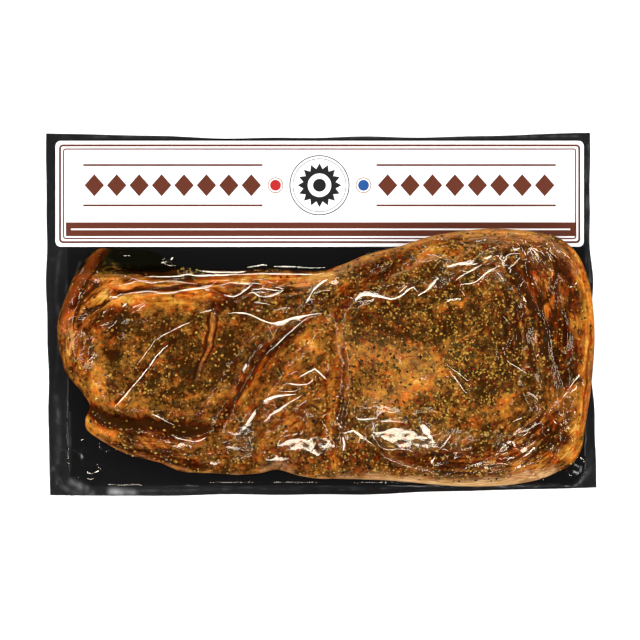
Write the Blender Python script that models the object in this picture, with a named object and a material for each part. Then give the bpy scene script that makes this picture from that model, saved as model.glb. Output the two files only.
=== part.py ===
"""A marinated beef tri-tip, vacuum packed on a black backing film with a wide label across the top.

The pack lies on its back with the roast up. Three solids make it: the backing film, the label that
lies on its upper flange, and the roast inside its tight clear film. X runs along the pack, Y towards
the label, Z up. The origin is at the middle of the pack, on the surface that it lies on.
"""

import math

import bmesh
import bpy
import numpy as np

MM = 0.001

# Driving sizes of the pack, in metres.
BACKING_THICKNESS = 0.8 * MM
LABEL_THICKNESS = 0.4 * MM
LAYER_GAP = 0.3 * MM
LABEL_LOW = (-154.0 * MM, 38.9 * MM)
LABEL_HIGH = (152.2 * MM, 100.2 * MM)
LABEL_CORNER_RADIUS = 3.0 * MM
LABEL_CORNER_STEPS = 5

# The backing's corners in millimetres, anticlockwise from the lower left, as the trimmed web really lies.
BACKING_CORNERS = ((-157.1, -105.2), (159.5, -100.7), (155.8, 105.0), (-159.5, 104.6))
# How far the lower, right, upper and left sides bow outwards at their middle, and ripple, in millimetres.
SIDE_BOWS = (-0.6, -0.9, -2.8, -0.8)
SIDE_RIPPLES = (0.4, 0.8, 0.5, 0.4)
HALF_WAVES_ALONG_SIDE = (4.5, 11.0)
FINE_RIPPLE_SHARE = 0.6
SIDE_FADE_POWER = 4
BACKING_CELLS = (32, 20)

# The flange rises outside the pocket and the label, in slow waves. All in millimetres.
POCKET_LOW = (-147.0, -99.5)
POCKET_HIGH = (153.0, 45.0)
LABEL_MARGIN = 1.0
EDGE_LIFT = 1.6
EDGE_LIFT_REACH = 9.0
EDGE_WAVE_SHARE = 0.38
EDGE_WAVELENGTHS = (145.0, 120.0)

# The roast's outline seen from above, in millimetres, clockwise from its leftmost point.
ROAST_OUTLINE = (
    (-152, -5), (-147, 11), (-141, 25), (-135, 34), (-128, 38), (-110, 38), (-91, 37.5), (-81, 31),
    (-71, 26), (-51, 25), (-32, 26), (-12, 25), (1, 25), (14, 29), (26, 34), (46, 39), (61, 44),
    (77, 47), (97, 49), (117, 48), (129, 46), (138, 43), (147, 35), (152, 25), (155, 14), (157, -4),
    (157, -21), (155, -44), (152, -64), (150, -77), (145, -86), (136, -91), (123, -96), (103, -99),
    (75, -99), (40, -96), (9, -95), (-2, -95), (-14, -93), (-25, -90), (-36, -92), (-48, -93),
    (-64, -92), (-81, -91), (-93, -86), (-112, -81), (-127, -73), (-135, -67), (-136, -61),
    (-133.5, -53), (-138, -45), (-147, -34), (-151, -20),
)
OUTLINE_STEPS = 6

# The muscle's lobes: centre, half lengths and height, in millimetres.
ROAST_LOBES = (
    ("thick end", (84, -22), (96, 92), 42.0),
    ("middle", (14, -40), (62, 66), 36.0),
    ("thin end", (-86, -24), (84, 62), 29.0),
    ("lower flap", (-84, -80), (70, 24), 15.0),
    ("upper edge", (-36, 10), (66, 26), 22.0),
    ("left corner", (-128, -8), (26, 40), 20.0),
)
LOBE_FALL = 0.42
LOBE_BLEND = 0.45

# The shallow pool of marinade between the muscle's upper left edge and the label.
POOL_LOWER_EDGE = 20.0
POOL_RIGHT_EDGE = -82.0
POOL_HEIGHT = 7.0
POOL_BANK_WIDTH = 9.0

# Folds and creases: a line of points, its height (a groove is negative) and its half width, in millimetres.
ROAST_FOLDS = (
    ("valley beside the thin end", ((18, 30), (-12, -6), (-34, -21), (-50, -47), (-67, -73)), -6.5, 7.0),
    ("overhang above the lower flap", ((-134, -54), (-121, -63), (-98, -71), (-67, -71)), -6.0, 4.5),
    ("film ridge along the upper edge", ((-148, -4), (-125, 11), (-103, 19), (-70, 19), (-34, 22)), 2.6, 3.6),
    ("second ridge", ((-138, -9), (-124, 4), (-108, 9), (-72, 13)), 2.0, 3.4),
    ("rolled left rim", ((-149, -2), (-144, 10), (-137, 24), (-127, 34)), 5.0, 3.6),
    ("groove inside the right rim", ((110, 30), (123, 8), (130, -9), (135, -50), (137, -73)), -4.0, 6.5),
    ("upright seam", ((8, 8), (7, -21), (10, -50), (7, -90)), -2.4, 4.5),
    ("lower right ridge", ((86, -94), (103, -90), (120, -77), (135, -61)), 3.0, 4.5),
    ("tuck in the lower edge", ((-25, -89), (-21, -76), (-12, -61)), -3.5, 6.0),
    ("upper shoulder valley", ((22, 18), (44, 27), (70, 31)), -3.0, 6.0),
    ("bulge edge beside the valley", ((-2, -18), (-22, -34), (-36, -58)), 2.6, 7.0),
)
FOLD_END_SHARE = 0.25
FOLD_TAPER_SHARE = 0.18

# How the grid is spread over the outline: from an ellipse round a straight spine, blended out to the outline.
ROAST_CELLS = (72, 40)
EDGE_CROWDING = 0.34
SPINE_HALF_LENGTH = 88.0
ROAST_CENTRE = (2.0, -28.0)
ELLIPSE_RADII = (150.0, 62.0)
OUTLINE_BLEND_POWER = 2.2

# The side's section: how high its widest line is, how the top rounds over and how far the foot is tucked in.
WIDEST_SHARE = 0.5
SHOULDER_SHARE = 0.95
SHOULDER_ROUNDNESS = 2.4
UNDERCUT_SHARE = 0.86
UNDERCUT_ROUNDNESS = 1.9
UNDERCUT_RINGS = (0.34, 0.62, 0.84, 1.0)


def clear_scene():
    for old in list(bpy.data.objects):
        bpy.data.objects.remove(old)


def film_material(name, colour, roughness):
    """A Principled finish in the part's own colour."""
    material = bpy.data.materials.new(name)
    material.use_nodes = True
    shader = material.node_tree.nodes["Principled BSDF"]
    shader.inputs["Base Color"].default_value = (*colour, 1.0)
    shader.inputs["Roughness"].default_value = roughness
    shader.inputs["Metallic"].default_value = 0.0
    return material


def add_object(name, mesh, material, parent):
    obj = bpy.data.objects.new(name, mesh)
    bpy.context.scene.collection.objects.link(obj)
    mesh.materials.append(material)
    obj.parent = parent
    return obj


def crowd_to_edge(values):
    """Spreads even values in -1..1 so that they lie closer together near both ends."""
    return values * (1.0 + EDGE_CROWDING * (1.0 - values**2))


def grid_mesh(cells):
    """A square grid from -1 to 1, as a bmesh, with its vertices in rows."""
    bm = bmesh.new()
    bmesh.ops.create_grid(bm, x_segments=cells[0], y_segments=cells[1], size=1.0)
    bm.verts.ensure_lookup_table()
    return bm


def vertex_array(bm):
    return np.array([v.co for v in bm.verts], float)


def place_vertices(bm, points):
    for vertex, point in zip(bm.verts, points):
        vertex.co = point


def smooth_step(values):
    share = np.clip(values, 0.0, 1.0)
    return share * share * (3.0 - 2.0 * share)


def distance_to_line(points, line):
    """Shortest distance from each point to a line of points, and how far along the line it lies, 0 to 1."""
    line = np.array(line, float)
    lengths = np.linalg.norm(np.diff(line, axis=0), axis=1)
    starts = np.concatenate([[0.0], np.cumsum(lengths)])
    nearest = np.full(len(points), np.inf)
    along = np.zeros(len(points))
    for a, b, length, start in zip(line[:-1], line[1:], lengths, starts[:-1]):
        share = np.clip(((points - a) @ (b - a)) / length**2, 0.0, 1.0)
        gap = np.linalg.norm(points - (a + share[:, None] * (b - a)), axis=1)
        closer = gap < nearest
        nearest[closer] = gap[closer]
        along[closer] = ((start + share * length) / starts[-1])[closer]
    return nearest, along


def smooth_loop(corners, steps):
    """A closed Catmull-Rom curve through the corners."""
    corners = np.array(corners, float)
    share = (np.arange(steps) / steps)[:, None]
    runs = []
    for i in range(len(corners)):
        a, b, c, d = (corners[(i + k) % len(corners)] for k in (-1, 0, 1, 2))
        runs.append(
            0.5 * (2 * b + (c - a) * share + (2 * a - 5 * b + 4 * c - d) * share**2
                   + (3 * b - a - 3 * c + d) * share**3)
        )
    return np.concatenate(runs)


# Backing film


def side_bow(share, bow, ripple):
    """How far a point of a side lies outwards of the straight line between its corners."""
    slow, fine = (np.sin(share * math.pi * count) for count in HALF_WAVES_ALONG_SIDE)
    return (bow + ripple * (slow + FINE_RIPPLE_SHARE * fine)) * np.sin(math.pi * share) * MM


def backing_plan(square):
    """Maps the square -1..1 onto the backing's four uneven sides."""
    low_left, low_right, high_right, high_left = (np.array(c) * MM for c in BACKING_CORNERS)
    across, up = (square[:, 0] + 1) / 2, (square[:, 1] + 1) / 2
    low = low_left + np.outer(across, low_right - low_left)
    high = high_left + np.outer(across, high_right - high_left)
    plan = low + up[:, None] * (high - low)
    below, right, above, left = (
        side_bow(share, bow, ripple)
        for share, bow, ripple in zip((across, up, across, up), SIDE_BOWS, SIDE_RIPPLES)
    )
    plan[:, 1] += above * up**SIDE_FADE_POWER - below * (1 - up) ** SIDE_FADE_POWER
    plan[:, 0] += right * across**SIDE_FADE_POWER - left * (1 - across) ** SIDE_FADE_POWER
    return plan


def distance_outside(x, y, low, high):
    """How far each point lies outside an upright rectangle, 0 inside it."""
    beside = np.maximum(np.maximum(low[0] - x, x - high[0]), 0.0)
    beyond = np.maximum(np.maximum(low[1] - y, y - high[1]), 0.0)
    return np.hypot(beside, beyond)


def flange_lift(plan):
    """The flange rises a little outside the label and the roast, in uneven waves."""
    x, y = plan[:, 0] / MM, plan[:, 1] / MM
    label_low = [value / MM - LABEL_MARGIN for value in LABEL_LOW]
    label_high = [value / MM + LABEL_MARGIN for value in LABEL_HIGH]
    outside = np.minimum(
        distance_outside(x, y, label_low, label_high), distance_outside(x, y, POCKET_LOW, POCKET_HIGH)
    )
    turns = 2 * math.pi * x / EDGE_WAVELENGTHS[0], 2 * math.pi * y / EDGE_WAVELENGTHS[1]
    wave = 1.0 - EDGE_WAVE_SHARE * (1.0 - np.sin(turns[0]) * np.cos(turns[1]))
    return EDGE_LIFT * wave * np.clip(outside / EDGE_LIFT_REACH, 0.0, 1.0) ** 1.5 * MM


def make_backing(parent):
    """The black web under the whole pack: one thin sheet, both faces split alike."""
    bm = grid_mesh(BACKING_CELLS)
    square = crowd_to_edge(vertex_array(bm)[:, :2])
    plan = backing_plan(square)
    place_vertices(bm, np.column_stack([plan, flange_lift(plan)]))
    top = bmesh.ops.extrude_face_region(bm, geom=bm.faces[:])["geom"]
    raised = [item for item in top if isinstance(item, bmesh.types.BMVert)]
    bmesh.ops.translate(bm, verts=raised, vec=(0.0, 0.0, BACKING_THICKNESS))
    bmesh.ops.recalc_face_normals(bm, faces=bm.faces[:])
    mesh = bpy.data.meshes.new("backing_film")
    bm.to_mesh(mesh)
    bm.free()
    return add_object("backing_film", mesh, film_material("black film", (0.012, 0.012, 0.013), 0.3), parent)


# Label


def rounded_rectangle(low, high, radius, steps):
    """Corner points of a rectangle with round corners, anticlockwise."""
    points = []
    for quarter, (x, y) in enumerate(
        ((high[0] - radius, high[1] - radius), (low[0] + radius, high[1] - radius),
         (low[0] + radius, low[1] + radius), (high[0] - radius, low[1] + radius))
    ):
        for step in range(steps + 1):
            turn = (quarter + step / steps) * math.pi / 2
            points.append((x + radius * math.cos(turn), y + radius * math.sin(turn)))
    return points


def make_label(parent):
    """The paper label, a flat plate with round corners, lying on the upper flange."""
    bm = bmesh.new()
    foot = BACKING_THICKNESS + LAYER_GAP
    outline = rounded_rectangle(LABEL_LOW, LABEL_HIGH, LABEL_CORNER_RADIUS, LABEL_CORNER_STEPS)
    face = bm.faces.new([bm.verts.new((x, y, foot)) for x, y in outline])
    top = bmesh.ops.extrude_face_region(bm, geom=[face])["geom"]
    raised = [item for item in top if isinstance(item, bmesh.types.BMVert)]
    bmesh.ops.translate(bm, verts=raised, vec=(0.0, 0.0, LABEL_THICKNESS))
    bmesh.ops.recalc_face_normals(bm, faces=bm.faces[:])
    mesh = bpy.data.meshes.new("label")
    bm.to_mesh(mesh)
    bm.free()
    return add_object("label", mesh, film_material("label paper", (0.86, 0.85, 0.84), 0.45), parent)


# Roast in its clear film


def spine_rays(turn):
    """Where the ray at each turn leaves the roast's spine, and its direction."""
    direction = np.column_stack([np.cos(turn), np.sin(turn)])
    start = np.array(ROAST_CENTRE) + np.column_stack([SPINE_HALF_LENGTH * np.cos(turn), np.zeros(len(turn))])
    return start, direction


def outline_at(turn, loop):
    """The outline point that each spine ray meets, in millimetres."""
    start, direction = spine_rays(turn)
    best = np.full(len(turn), np.inf)
    for a, b in zip(loop, np.roll(loop, -1, axis=0)):
        edge = b - a
        cross = direction[:, 0] * edge[1] - direction[:, 1] * edge[0]
        offset = a - start
        reach = (offset[:, 0] * edge[1] - offset[:, 1] * edge[0]) / cross
        share = (offset[:, 0] * direction[:, 1] - offset[:, 1] * direction[:, 0]) / cross
        hit = (reach > 0) & (share >= -1e-9) & (share <= 1 + 1e-9)
        best = np.where(hit & (reach < best), reach, best)
    return start + direction * best[:, None]


def roast_plan(square, loop):
    """Maps the square -1..1 onto the roast's outline. Gives the plan points and the turn of their rays."""
    u, v = square[:, 0], square[:, 1]
    disc = np.column_stack([u * np.sqrt(1 - v**2 / 2), v * np.sqrt(1 - u**2 / 2)])
    radius = np.clip(np.linalg.norm(disc, axis=1), 0.0, 1.0)
    turn = np.arctan2(disc[:, 1], disc[:, 0])
    ellipse = np.array(ELLIPSE_RADII)
    rim = np.array(ROAST_CENTRE) + ellipse * np.column_stack([np.cos(turn), np.sin(turn)])
    inside = np.array(ROAST_CENTRE) + ellipse * disc
    return inside + (radius**OUTLINE_BLEND_POWER)[:, None] * (outline_at(turn, loop) - rim), turn


def lobe_height(plan):
    """Height of the muscle without its edge, in millimetres: a smooth maximum of its lobes."""
    total = np.zeros(len(plan))
    for _name, centre, reach, height in ROAST_LOBES:
        spread = np.sum(((plan - np.array(centre)) / np.array(reach)) ** 2, axis=1)
        total += np.exp(LOBE_BLEND * height * (1.0 - LOBE_FALL * spread))
    muscle = np.log(total + 1.0) / LOBE_BLEND
    above = smooth_step((plan[:, 1] - POOL_LOWER_EDGE) / POOL_BANK_WIDTH)
    pool = above * smooth_step((POOL_RIGHT_EDGE - plan[:, 0]) / POOL_BANK_WIDTH + 0.5)
    return muscle + (POOL_HEIGHT - muscle) * pool


def fold_height(plan):
    """What the folds and creases add, in millimetres."""
    added = np.zeros(len(plan))
    for _name, line, height, half_width in ROAST_FOLDS:
        gap, along = distance_to_line(plan, line)
        taper = np.clip(np.minimum(along, 1 - along) / FOLD_TAPER_SHARE, 0.0, 1.0)
        strength = FOLD_END_SHARE + (1.0 - FOLD_END_SHARE) * taper
        added += height * strength * np.exp(-((gap / half_width) ** 2))
    return added


def roast_top(plan, loop):
    """Height of the roast's upper surface over its foot, and of its widest line, in millimetres."""
    body = lobe_height(plan)
    widest = WIDEST_SHARE * body
    gap, _along = distance_to_line(plan, np.vstack([loop, loop[:1]]))
    inward = np.clip(gap / (SHOULDER_SHARE * body), 0.0, 1.0)
    shoulder = np.sqrt(1.0 - (1.0 - inward) ** SHOULDER_ROUNDNESS)
    return widest + (body - widest + fold_height(plan)) * shoulder, widest


def make_roast(parent):
    """The roast in its film: a lobed top, a widest line, an undercut side and a flat foot."""
    foot = BACKING_THICKNESS + LAYER_GAP
    loop = smooth_loop(ROAST_OUTLINE, OUTLINE_STEPS)
    bm = grid_mesh(ROAST_CELLS)
    plan, turn = roast_plan(crowd_to_edge(vertex_array(bm)[:, :2]), loop)
    top, widest = roast_top(plan, loop)
    place_vertices(bm, np.column_stack([plan * MM, foot + top * MM]))

    rim = {v.index: v for v in bm.verts if v.is_boundary}
    _start, direction = spine_rays(turn)
    rim_edges = [e for e in bm.edges if e.is_boundary]
    ring = {v: (plan[i], widest[i], direction[i]) for i, v in rim.items()}
    for share in UNDERCUT_RINGS:
        made = bmesh.ops.extrude_edge_only(bm, edges=rim_edges)["geom"]
        lower = [item for item in made if isinstance(item, bmesh.types.BMVert)]
        above = {}
        for vertex in lower:
            source = next(e.other_vert(vertex) for e in vertex.link_edges if e.other_vert(vertex) in ring)
            above[vertex] = ring[source]
        for vertex, (point, height, outwards) in above.items():
            inset = UNDERCUT_SHARE * height * share**UNDERCUT_ROUNDNESS
            x, y = (point - outwards * inset) * MM
            vertex.co = (x, y, foot + height * (1 - share) * MM)
        ring = above
        rim_edges = [item for item in made if isinstance(item, bmesh.types.BMEdge)]
    bmesh.ops.edgeloop_fill(bm, edges=rim_edges)
    bmesh.ops.recalc_face_normals(bm, faces=bm.faces[:])
    mesh = bpy.data.meshes.new("sealed_roast")
    bm.to_mesh(mesh)
    bm.free()
    mesh.shade_smooth()
    return add_object("sealed_roast", mesh, film_material("marinated beef", (0.26, 0.11, 0.025), 0.2), parent)


def main():
    clear_scene()
    pack = bpy.data.objects.new("pack", None)
    bpy.context.scene.collection.objects.link(pack)
    make_backing(pack)
    make_label(pack)
    make_roast(pack)


main()
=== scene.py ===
"""Looks of a marinated beef tri-tip in its vacuum pack: web, paper label, meat, seasoning and clear film."""

import math

import bpy
import numpy as np
from mathutils.bvhtree import BVHTree
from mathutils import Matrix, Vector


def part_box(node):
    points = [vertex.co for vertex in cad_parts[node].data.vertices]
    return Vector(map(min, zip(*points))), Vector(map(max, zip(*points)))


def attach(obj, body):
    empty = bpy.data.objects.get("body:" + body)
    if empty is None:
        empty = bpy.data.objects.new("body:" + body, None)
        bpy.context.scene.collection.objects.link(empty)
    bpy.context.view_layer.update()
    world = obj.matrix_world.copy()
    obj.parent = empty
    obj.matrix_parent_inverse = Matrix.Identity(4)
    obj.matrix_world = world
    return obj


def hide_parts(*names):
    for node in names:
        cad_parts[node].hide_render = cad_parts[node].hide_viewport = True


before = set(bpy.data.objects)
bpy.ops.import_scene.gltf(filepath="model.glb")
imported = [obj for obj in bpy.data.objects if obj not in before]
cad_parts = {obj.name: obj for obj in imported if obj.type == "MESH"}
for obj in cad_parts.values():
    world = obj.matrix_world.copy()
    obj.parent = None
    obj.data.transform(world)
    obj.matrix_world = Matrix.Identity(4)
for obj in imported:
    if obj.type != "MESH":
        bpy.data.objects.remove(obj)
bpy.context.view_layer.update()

MM = 0.001
bpy.ops.object.select_all(action="DESELECT")


# Camera: straight above the pack, as in the photograph, with a long lens. The frame is 640 pixels wide and
# takes in 371.2 mm of the surface that the pack lies on.
CAMERA_HEIGHT = 2.0
VIEW_WIDTH = 0.3712
VIEW_CENTRE = (-0.0007, -0.0036)
SENSOR_WIDTH = 36.0

bpy.ops.object.camera_add(location=(*VIEW_CENTRE, CAMERA_HEIGHT), rotation=(0.0, 0.0, 0.0))
camera = bpy.context.object
camera.data.sensor_width = SENSOR_WIDTH
camera.data.lens = SENSOR_WIDTH * CAMERA_HEIGHT / VIEW_WIDTH
bpy.context.scene.camera = camera


# Studio: a white sweep in a dim room, a wide diffuser overhead and one at each end of the pack, and long
# narrow softboxes on all four sides, the only lamps that the glossy film mirrors as fine white lines.
ROOM_STRENGTH = 0.06
LAMPS = (
    # name, azimuth and height as seen from the pack in degrees, distance, length, width, power, mirrored
    ("softbox beyond the label", 90.0, 53.0, 1.6, 2.3, 0.2, 20.0, True),
    ("softbox below the pack", 270.0, 53.0, 1.6, 2.3, 0.2, 20.0, True),
    ("softbox on the right", 0.0, 50.0, 1.6, 1.2, 0.18, 6.0, True),
    ("softbox on the left", 180.0, 50.0, 1.6, 1.2, 0.18, 6.0, True),
    ("overhead diffuser", 90.0, 89.9, 2.6, 3.0, 3.0, 30.0, False),
    ("diffuser at the right end", 0.0, 18.0, 1.5, 1.6, 0.8, 10.0, False),
    ("diffuser at the left end", 180.0, 18.0, 1.5, 1.6, 0.8, 10.0, False),
)
FLOOR_SIZE = 8.0
FLOOR_COLOUR = (0.95, 0.95, 0.95, 1.0)
FLOOR_GLOW = 0.3

world = bpy.context.scene.world or bpy.data.worlds.new("room")
bpy.context.scene.world = world
world.use_nodes = True
world.node_tree.nodes["Background"].inputs["Color"].default_value = (1.0, 1.0, 1.0, 1.0)
world.node_tree.nodes["Background"].inputs["Strength"].default_value = ROOM_STRENGTH
bpy.context.scene.view_settings.view_transform = "Standard"

for name, azimuth, height, distance, length, width, power, mirrored in LAMPS:
    turn, lift = math.radians(azimuth), math.radians(height)
    place = (
        distance * math.cos(lift) * math.cos(turn),
        distance * math.cos(lift) * math.sin(turn),
        distance * math.sin(lift),
    )
    tilt = math.radians(90.0) - lift
    bpy.ops.object.light_add(type="AREA", location=place, rotation=(tilt, 0.0, turn + math.radians(90.0)))
    lamp = bpy.context.object
    lamp.name = name
    lamp.data.shape = "RECTANGLE"
    lamp.data.size = length
    lamp.data.size_y = width
    lamp.data.energy = power
    lamp.visible_glossy = mirrored


def new_material(name):
    """A material with only its Principled shader, which is given back with it."""
    material = bpy.data.materials.new(name)
    material.use_nodes = True
    return material, material.node_tree.nodes["Principled BSDF"]


def set_finish(shader, roughness, specular):
    """How rough a material's surface is and how strongly it mirrors."""
    shader.inputs["Roughness"].default_value = roughness
    shader.inputs["Specular IOR Level"].default_value = specular


bpy.ops.mesh.primitive_plane_add(size=FLOOR_SIZE, location=(0.0, 0.0, 0.0))
floor = bpy.context.object
floor.name = "floor"
floor_paint, shader = new_material("white sweep")
shader.inputs["Base Color"].default_value = FLOOR_COLOUR
set_finish(shader, 0.9, 0.0)
shader.inputs["Emission Color"].default_value = FLOOR_COLOUR
shader.inputs["Emission Strength"].default_value = FLOOR_GLOW
floor.data.materials.append(floor_paint)
floor.visible_glossy = False


# Black web: the flat printed-black film at the back of the pack, with the clear film heat sealed to it all
# round. Inside the seal line it is glossy; on the flange it is hazy and greyer, partly from painted sheen,
# creased, and it lifts at the edges.
WEB_THICKNESS = 0.8
WEB_CORNERS = ((-157.1, -105.2), (159.5, -100.7), (155.8, 105.0), (-159.5, 104.6))
SIDE_BOWS = (1.7, -0.9, -2.8, 0.5)
SIDE_RIPPLES = (0.4, 0.8, 0.5, 0.4)
HALF_WAVES_ALONG_SIDE = (4.5, 11.0)
FINE_RIPPLE_SHARE = 0.6
SIDE_FADE_POWER = 4
WEB_CELLS = (260, 170)
WEB_EDGE_CROWDING = 0.36
LABEL_LOW = (-154.0, 38.9)
LABEL_HIGH = (152.2, 100.2)
LABEL_MARGIN = 1.0
POCKET_LOW = (-147.0, -99.5)
POCKET_HIGH = (153.0, 45.0)
POCKET_RADIUS = 11.0
EDGE_LIFT = 1.6
EDGE_LIFT_REACH = 9.0
EDGE_WAVE_SHARE = 0.38
EDGE_WAVELENGTHS = (145.0, 120.0)
SEAL_BEAD = (0.35, 1.0)
CORNER_CREASE = (0.16, 1.9, 9.0, 26.0)
FLANGE_CREASES = ((0.5, 17.0), (0.22, 7.0))
POCKET_CREASES = (0.16, 11.0)
# Corners of the pocket where the film is crumpled: centre, reach, depth and size of the creases.
CRUMPLES = (
    ((-138.5, -80), (7.0, 12.0), 1.5, 5.5), ((-128, -92), (9.0, 5.0), 0.8, 5.0),
    ((147.5, -89), (6.0, 8.0), 1.3, 4.5),
    ((-150, -99), (6.0, 7.0), 0.7, 5.0), ((-152.5, -62), (3.5, 22.0), 0.5, 7.0),
)
# The flange's grey is partly hazy film and partly painted sheen.
FLANGE_HAZE_AND_SHEEN = 0.014
WEB_BLACK = (0.004, 0.004, 0.0042, 1.0)
WEB_GREY = (0.32, 0.32, 0.325, 1.0)
# Grey streaks on the black film, partly its own hazy grey where it is drawn or creased and partly painted
# sheen and reflections of the lamps: a line, its half width and how grey it is.
WEB_STREAKS_AND_SHEENS = (
    (((-144, -97.5), (-138, -101.5), (-134, -104)), 2.0, 0.8),  # lower left corner
    (((-122, -103), (-108, -103.4)), 1.8, 1.0),  # lower left patch
    (((-155, -90), (-150, -100), (-138, -104)), 1.5, 0.2),  # below the corner
    (((-153, -86), (-152, -64), (-154, -48)), 1.6, 0.12),  # left flange, low
    (((-154, -40), (-152, -12), (-153.5, 18), (-151, 36)), 1.2, 0.1),  # left flange, high
    (((-147, -2), (-145, 12), (-140, 30)), 0.8, 0.12),  # beside the rolled rim
    (((-146, -92), (-145.7, -76), (-146, -58)), 0.7, 0.17),  # left seal line
    (((155, 98), (155.6, 70), (155, 40), (156, 18)), 0.9, 0.23),  # right of the label, outer
    (((153.6, 92), (153.9, 60), (153.6, 30)), 0.6, 0.17),  # right of the label, inner
    (((148, -99), (155, -92), (157, -80)), 1.4, 0.15),  # lower right corner
    (((-120, -102.5), (-80, -102.5), (-52, -101.5)), 0.9, 0.1),  # lower flange, left
    (((-36, -101.5), (10, -102), (44, -101)), 0.7, 0.08),  # lower flange, middle
    (((70, -100.5), (104, -100), (138, -99)), 0.7, 0.1),  # lower flange, right
    (((-150, 102.5), (-60, 103), (40, 102.4), (150, 103)), 0.8, 0.13),  # upper flange
)


LATTICE_SIZE = 128


def soft_noise(points, size, seed):
    """Smooth random values between -1 and 1 at plan points, in bumps about as wide as size."""
    draw = np.random.default_rng(seed)
    lattice = draw.uniform(-1.0, 1.0, (LATTICE_SIZE, LATTICE_SIZE))
    turn = draw.uniform(0.0, math.pi)
    across = points @ np.array([[math.cos(turn), -math.sin(turn)], [math.sin(turn), math.cos(turn)]]) / size
    cell = np.floor(across).astype(int)
    share = across - cell
    share = share * share * (3.0 - 2.0 * share)
    sides = []
    for j in (0, 1):
        row = (cell[:, 1] + j) % LATTICE_SIZE
        left, right = (lattice[(cell[:, 0] + i) % LATTICE_SIZE, row] for i in (0, 1))
        sides.append(left + (right - left) * share[:, 0])
    return sides[0] + (sides[1] - sides[0]) * share[:, 1]


def crease_noise(points, size, seed):
    """Sharp ridges between flat facets, 0 in the facets' middles and 1 on the ridges."""
    return 1.0 - np.minimum(np.abs(soft_noise(points, size, seed)) * 2.2, 1.0)


def distance_to_line(points, line):
    """Shortest distance from each point to a line of points, and how far along the line it lies, 0 to 1."""
    line = np.array(line, float)
    lengths = np.linalg.norm(np.diff(line, axis=0), axis=1)
    starts = np.concatenate([[0.0], np.cumsum(lengths)])
    nearest = np.full(len(points), np.inf)
    along = np.zeros(len(points))
    for a, b, length, start in zip(line[:-1], line[1:], lengths, starts[:-1]):
        share = np.clip(((points - a) @ (b - a)) / length**2, 0.0, 1.0)
        gap = np.hypot(*(points - (a + share[:, None] * (b - a))).T)
        closer = gap < nearest
        nearest[closer] = gap[closer]
        along[closer] = ((start + share * length) / starts[-1])[closer]
    return nearest, along


def near_line(points, line, reach):
    """Which points lie within reach of a line, how far off it they are and how far along it, 0 to 1."""
    low = np.min(line, axis=0) - reach
    high = np.max(line, axis=0) + reach
    close = np.flatnonzero(np.all((points > low) & (points < high), axis=1))
    gap, along = distance_to_line(points[close], line)
    return close, gap, along


def smooth_curve(corners, steps, closed=True):
    """A Catmull-Rom curve through the corners."""
    corners = np.array(corners, float)
    count = len(corners)
    share = (np.arange(steps) / steps)[:, None]
    runs = []
    for i in range(count if closed else count - 1):
        places = [i - 1, i, i + 1, i + 2]
        places = [p % count if closed else min(max(p, 0), count - 1) for p in places]
        a, b, c, d = corners[places]
        runs.append(
            0.5 * (2 * b + (c - a) * share + (2 * a - 5 * b + 4 * c - d) * share**2
                   + (3 * b - a - 3 * c + d) * share**3)
        )
    if not closed:
        runs.append(corners[-1:])
    return np.concatenate(runs)


def smooth_step(values):
    """Rises softly from 0 to 1 as the values do."""
    share = np.clip(values, 0.0, 1.0)
    return share * share * (3.0 - 2.0 * share)


def spread_from(plan, centre, reach):
    """Square of the distance from a centre, with 1 on the ellipse that the reach gives."""
    return np.sum(((plan - np.array(centre)) / np.array(reach)) ** 2, axis=1)


def crowd_to_edge(values, crowding):
    """Spreads even values in -1..1 so that they lie closer together near both ends."""
    return values * (1.0 + crowding * (1.0 - values**2))


def add_grid(name, cells):
    """A square grid from -1 to 1, made active, and its vertices as an array."""
    bpy.ops.mesh.primitive_grid_add(x_subdivisions=cells[0], y_subdivisions=cells[1], size=2.0)
    grid = bpy.context.object
    grid.name = name
    return grid, read_vertices(grid)


def read_vertices(obj):
    """An object's vertices as an array."""
    points = np.zeros(len(obj.data.vertices) * 3, np.float32)
    obj.data.vertices.foreach_get("co", points)
    return points.reshape(-1, 3).astype(float)


def place_vertices(obj, points):
    """Puts an object's vertices at points that are given in millimetres."""
    obj.data.vertices.foreach_set("co", (np.asarray(points) * MM).ravel())
    obj.data.update()


def add_attribute(obj, name, values):
    """Keeps a number at each vertex for the material to read."""
    obj.data.attributes.new(name=name, type="FLOAT", domain="POINT").data.foreach_set("value", values)


def side_bow(share, bow, ripple):
    """How far a point of a side lies outwards of the straight line between its corners."""
    slow, fine = (np.sin(share * math.pi * count) for count in HALF_WAVES_ALONG_SIDE)
    return (bow + ripple * (slow + FINE_RIPPLE_SHARE * fine)) * np.sin(math.pi * share)


def web_plan(square):
    """Maps the square -1..1 onto the web's four uneven sides, in millimetres."""
    low_left, low_right, high_right, high_left = (np.array(c) for c in WEB_CORNERS)
    across, up = (square[:, 0] + 1) / 2, (square[:, 1] + 1) / 2
    low = low_left + np.outer(across, low_right - low_left)
    high = high_left + np.outer(across, high_right - high_left)
    plan = low + up[:, None] * (high - low)
    below, right, above, left = (
        side_bow(share, bow, ripple)
        for share, bow, ripple in zip((across, up, across, up), SIDE_BOWS, SIDE_RIPPLES)
    )
    plan[:, 1] += above * up**SIDE_FADE_POWER - below * (1 - up) ** SIDE_FADE_POWER
    plan[:, 0] += right * across**SIDE_FADE_POWER - left * (1 - across) ** SIDE_FADE_POWER
    return plan


def distance_outside(plan, low, high, radius=0.0):
    """Signed distance to an upright rectangle with round corners: below 0 inside it."""
    middle = (np.array(low) + np.array(high)) / 2
    reach = np.abs(plan - middle) - ((np.array(high) - np.array(low)) / 2 - radius)
    beyond = np.linalg.norm(np.maximum(reach, 0.0), axis=1)
    return beyond + np.minimum(reach.max(axis=1), 0.0) - radius


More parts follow.
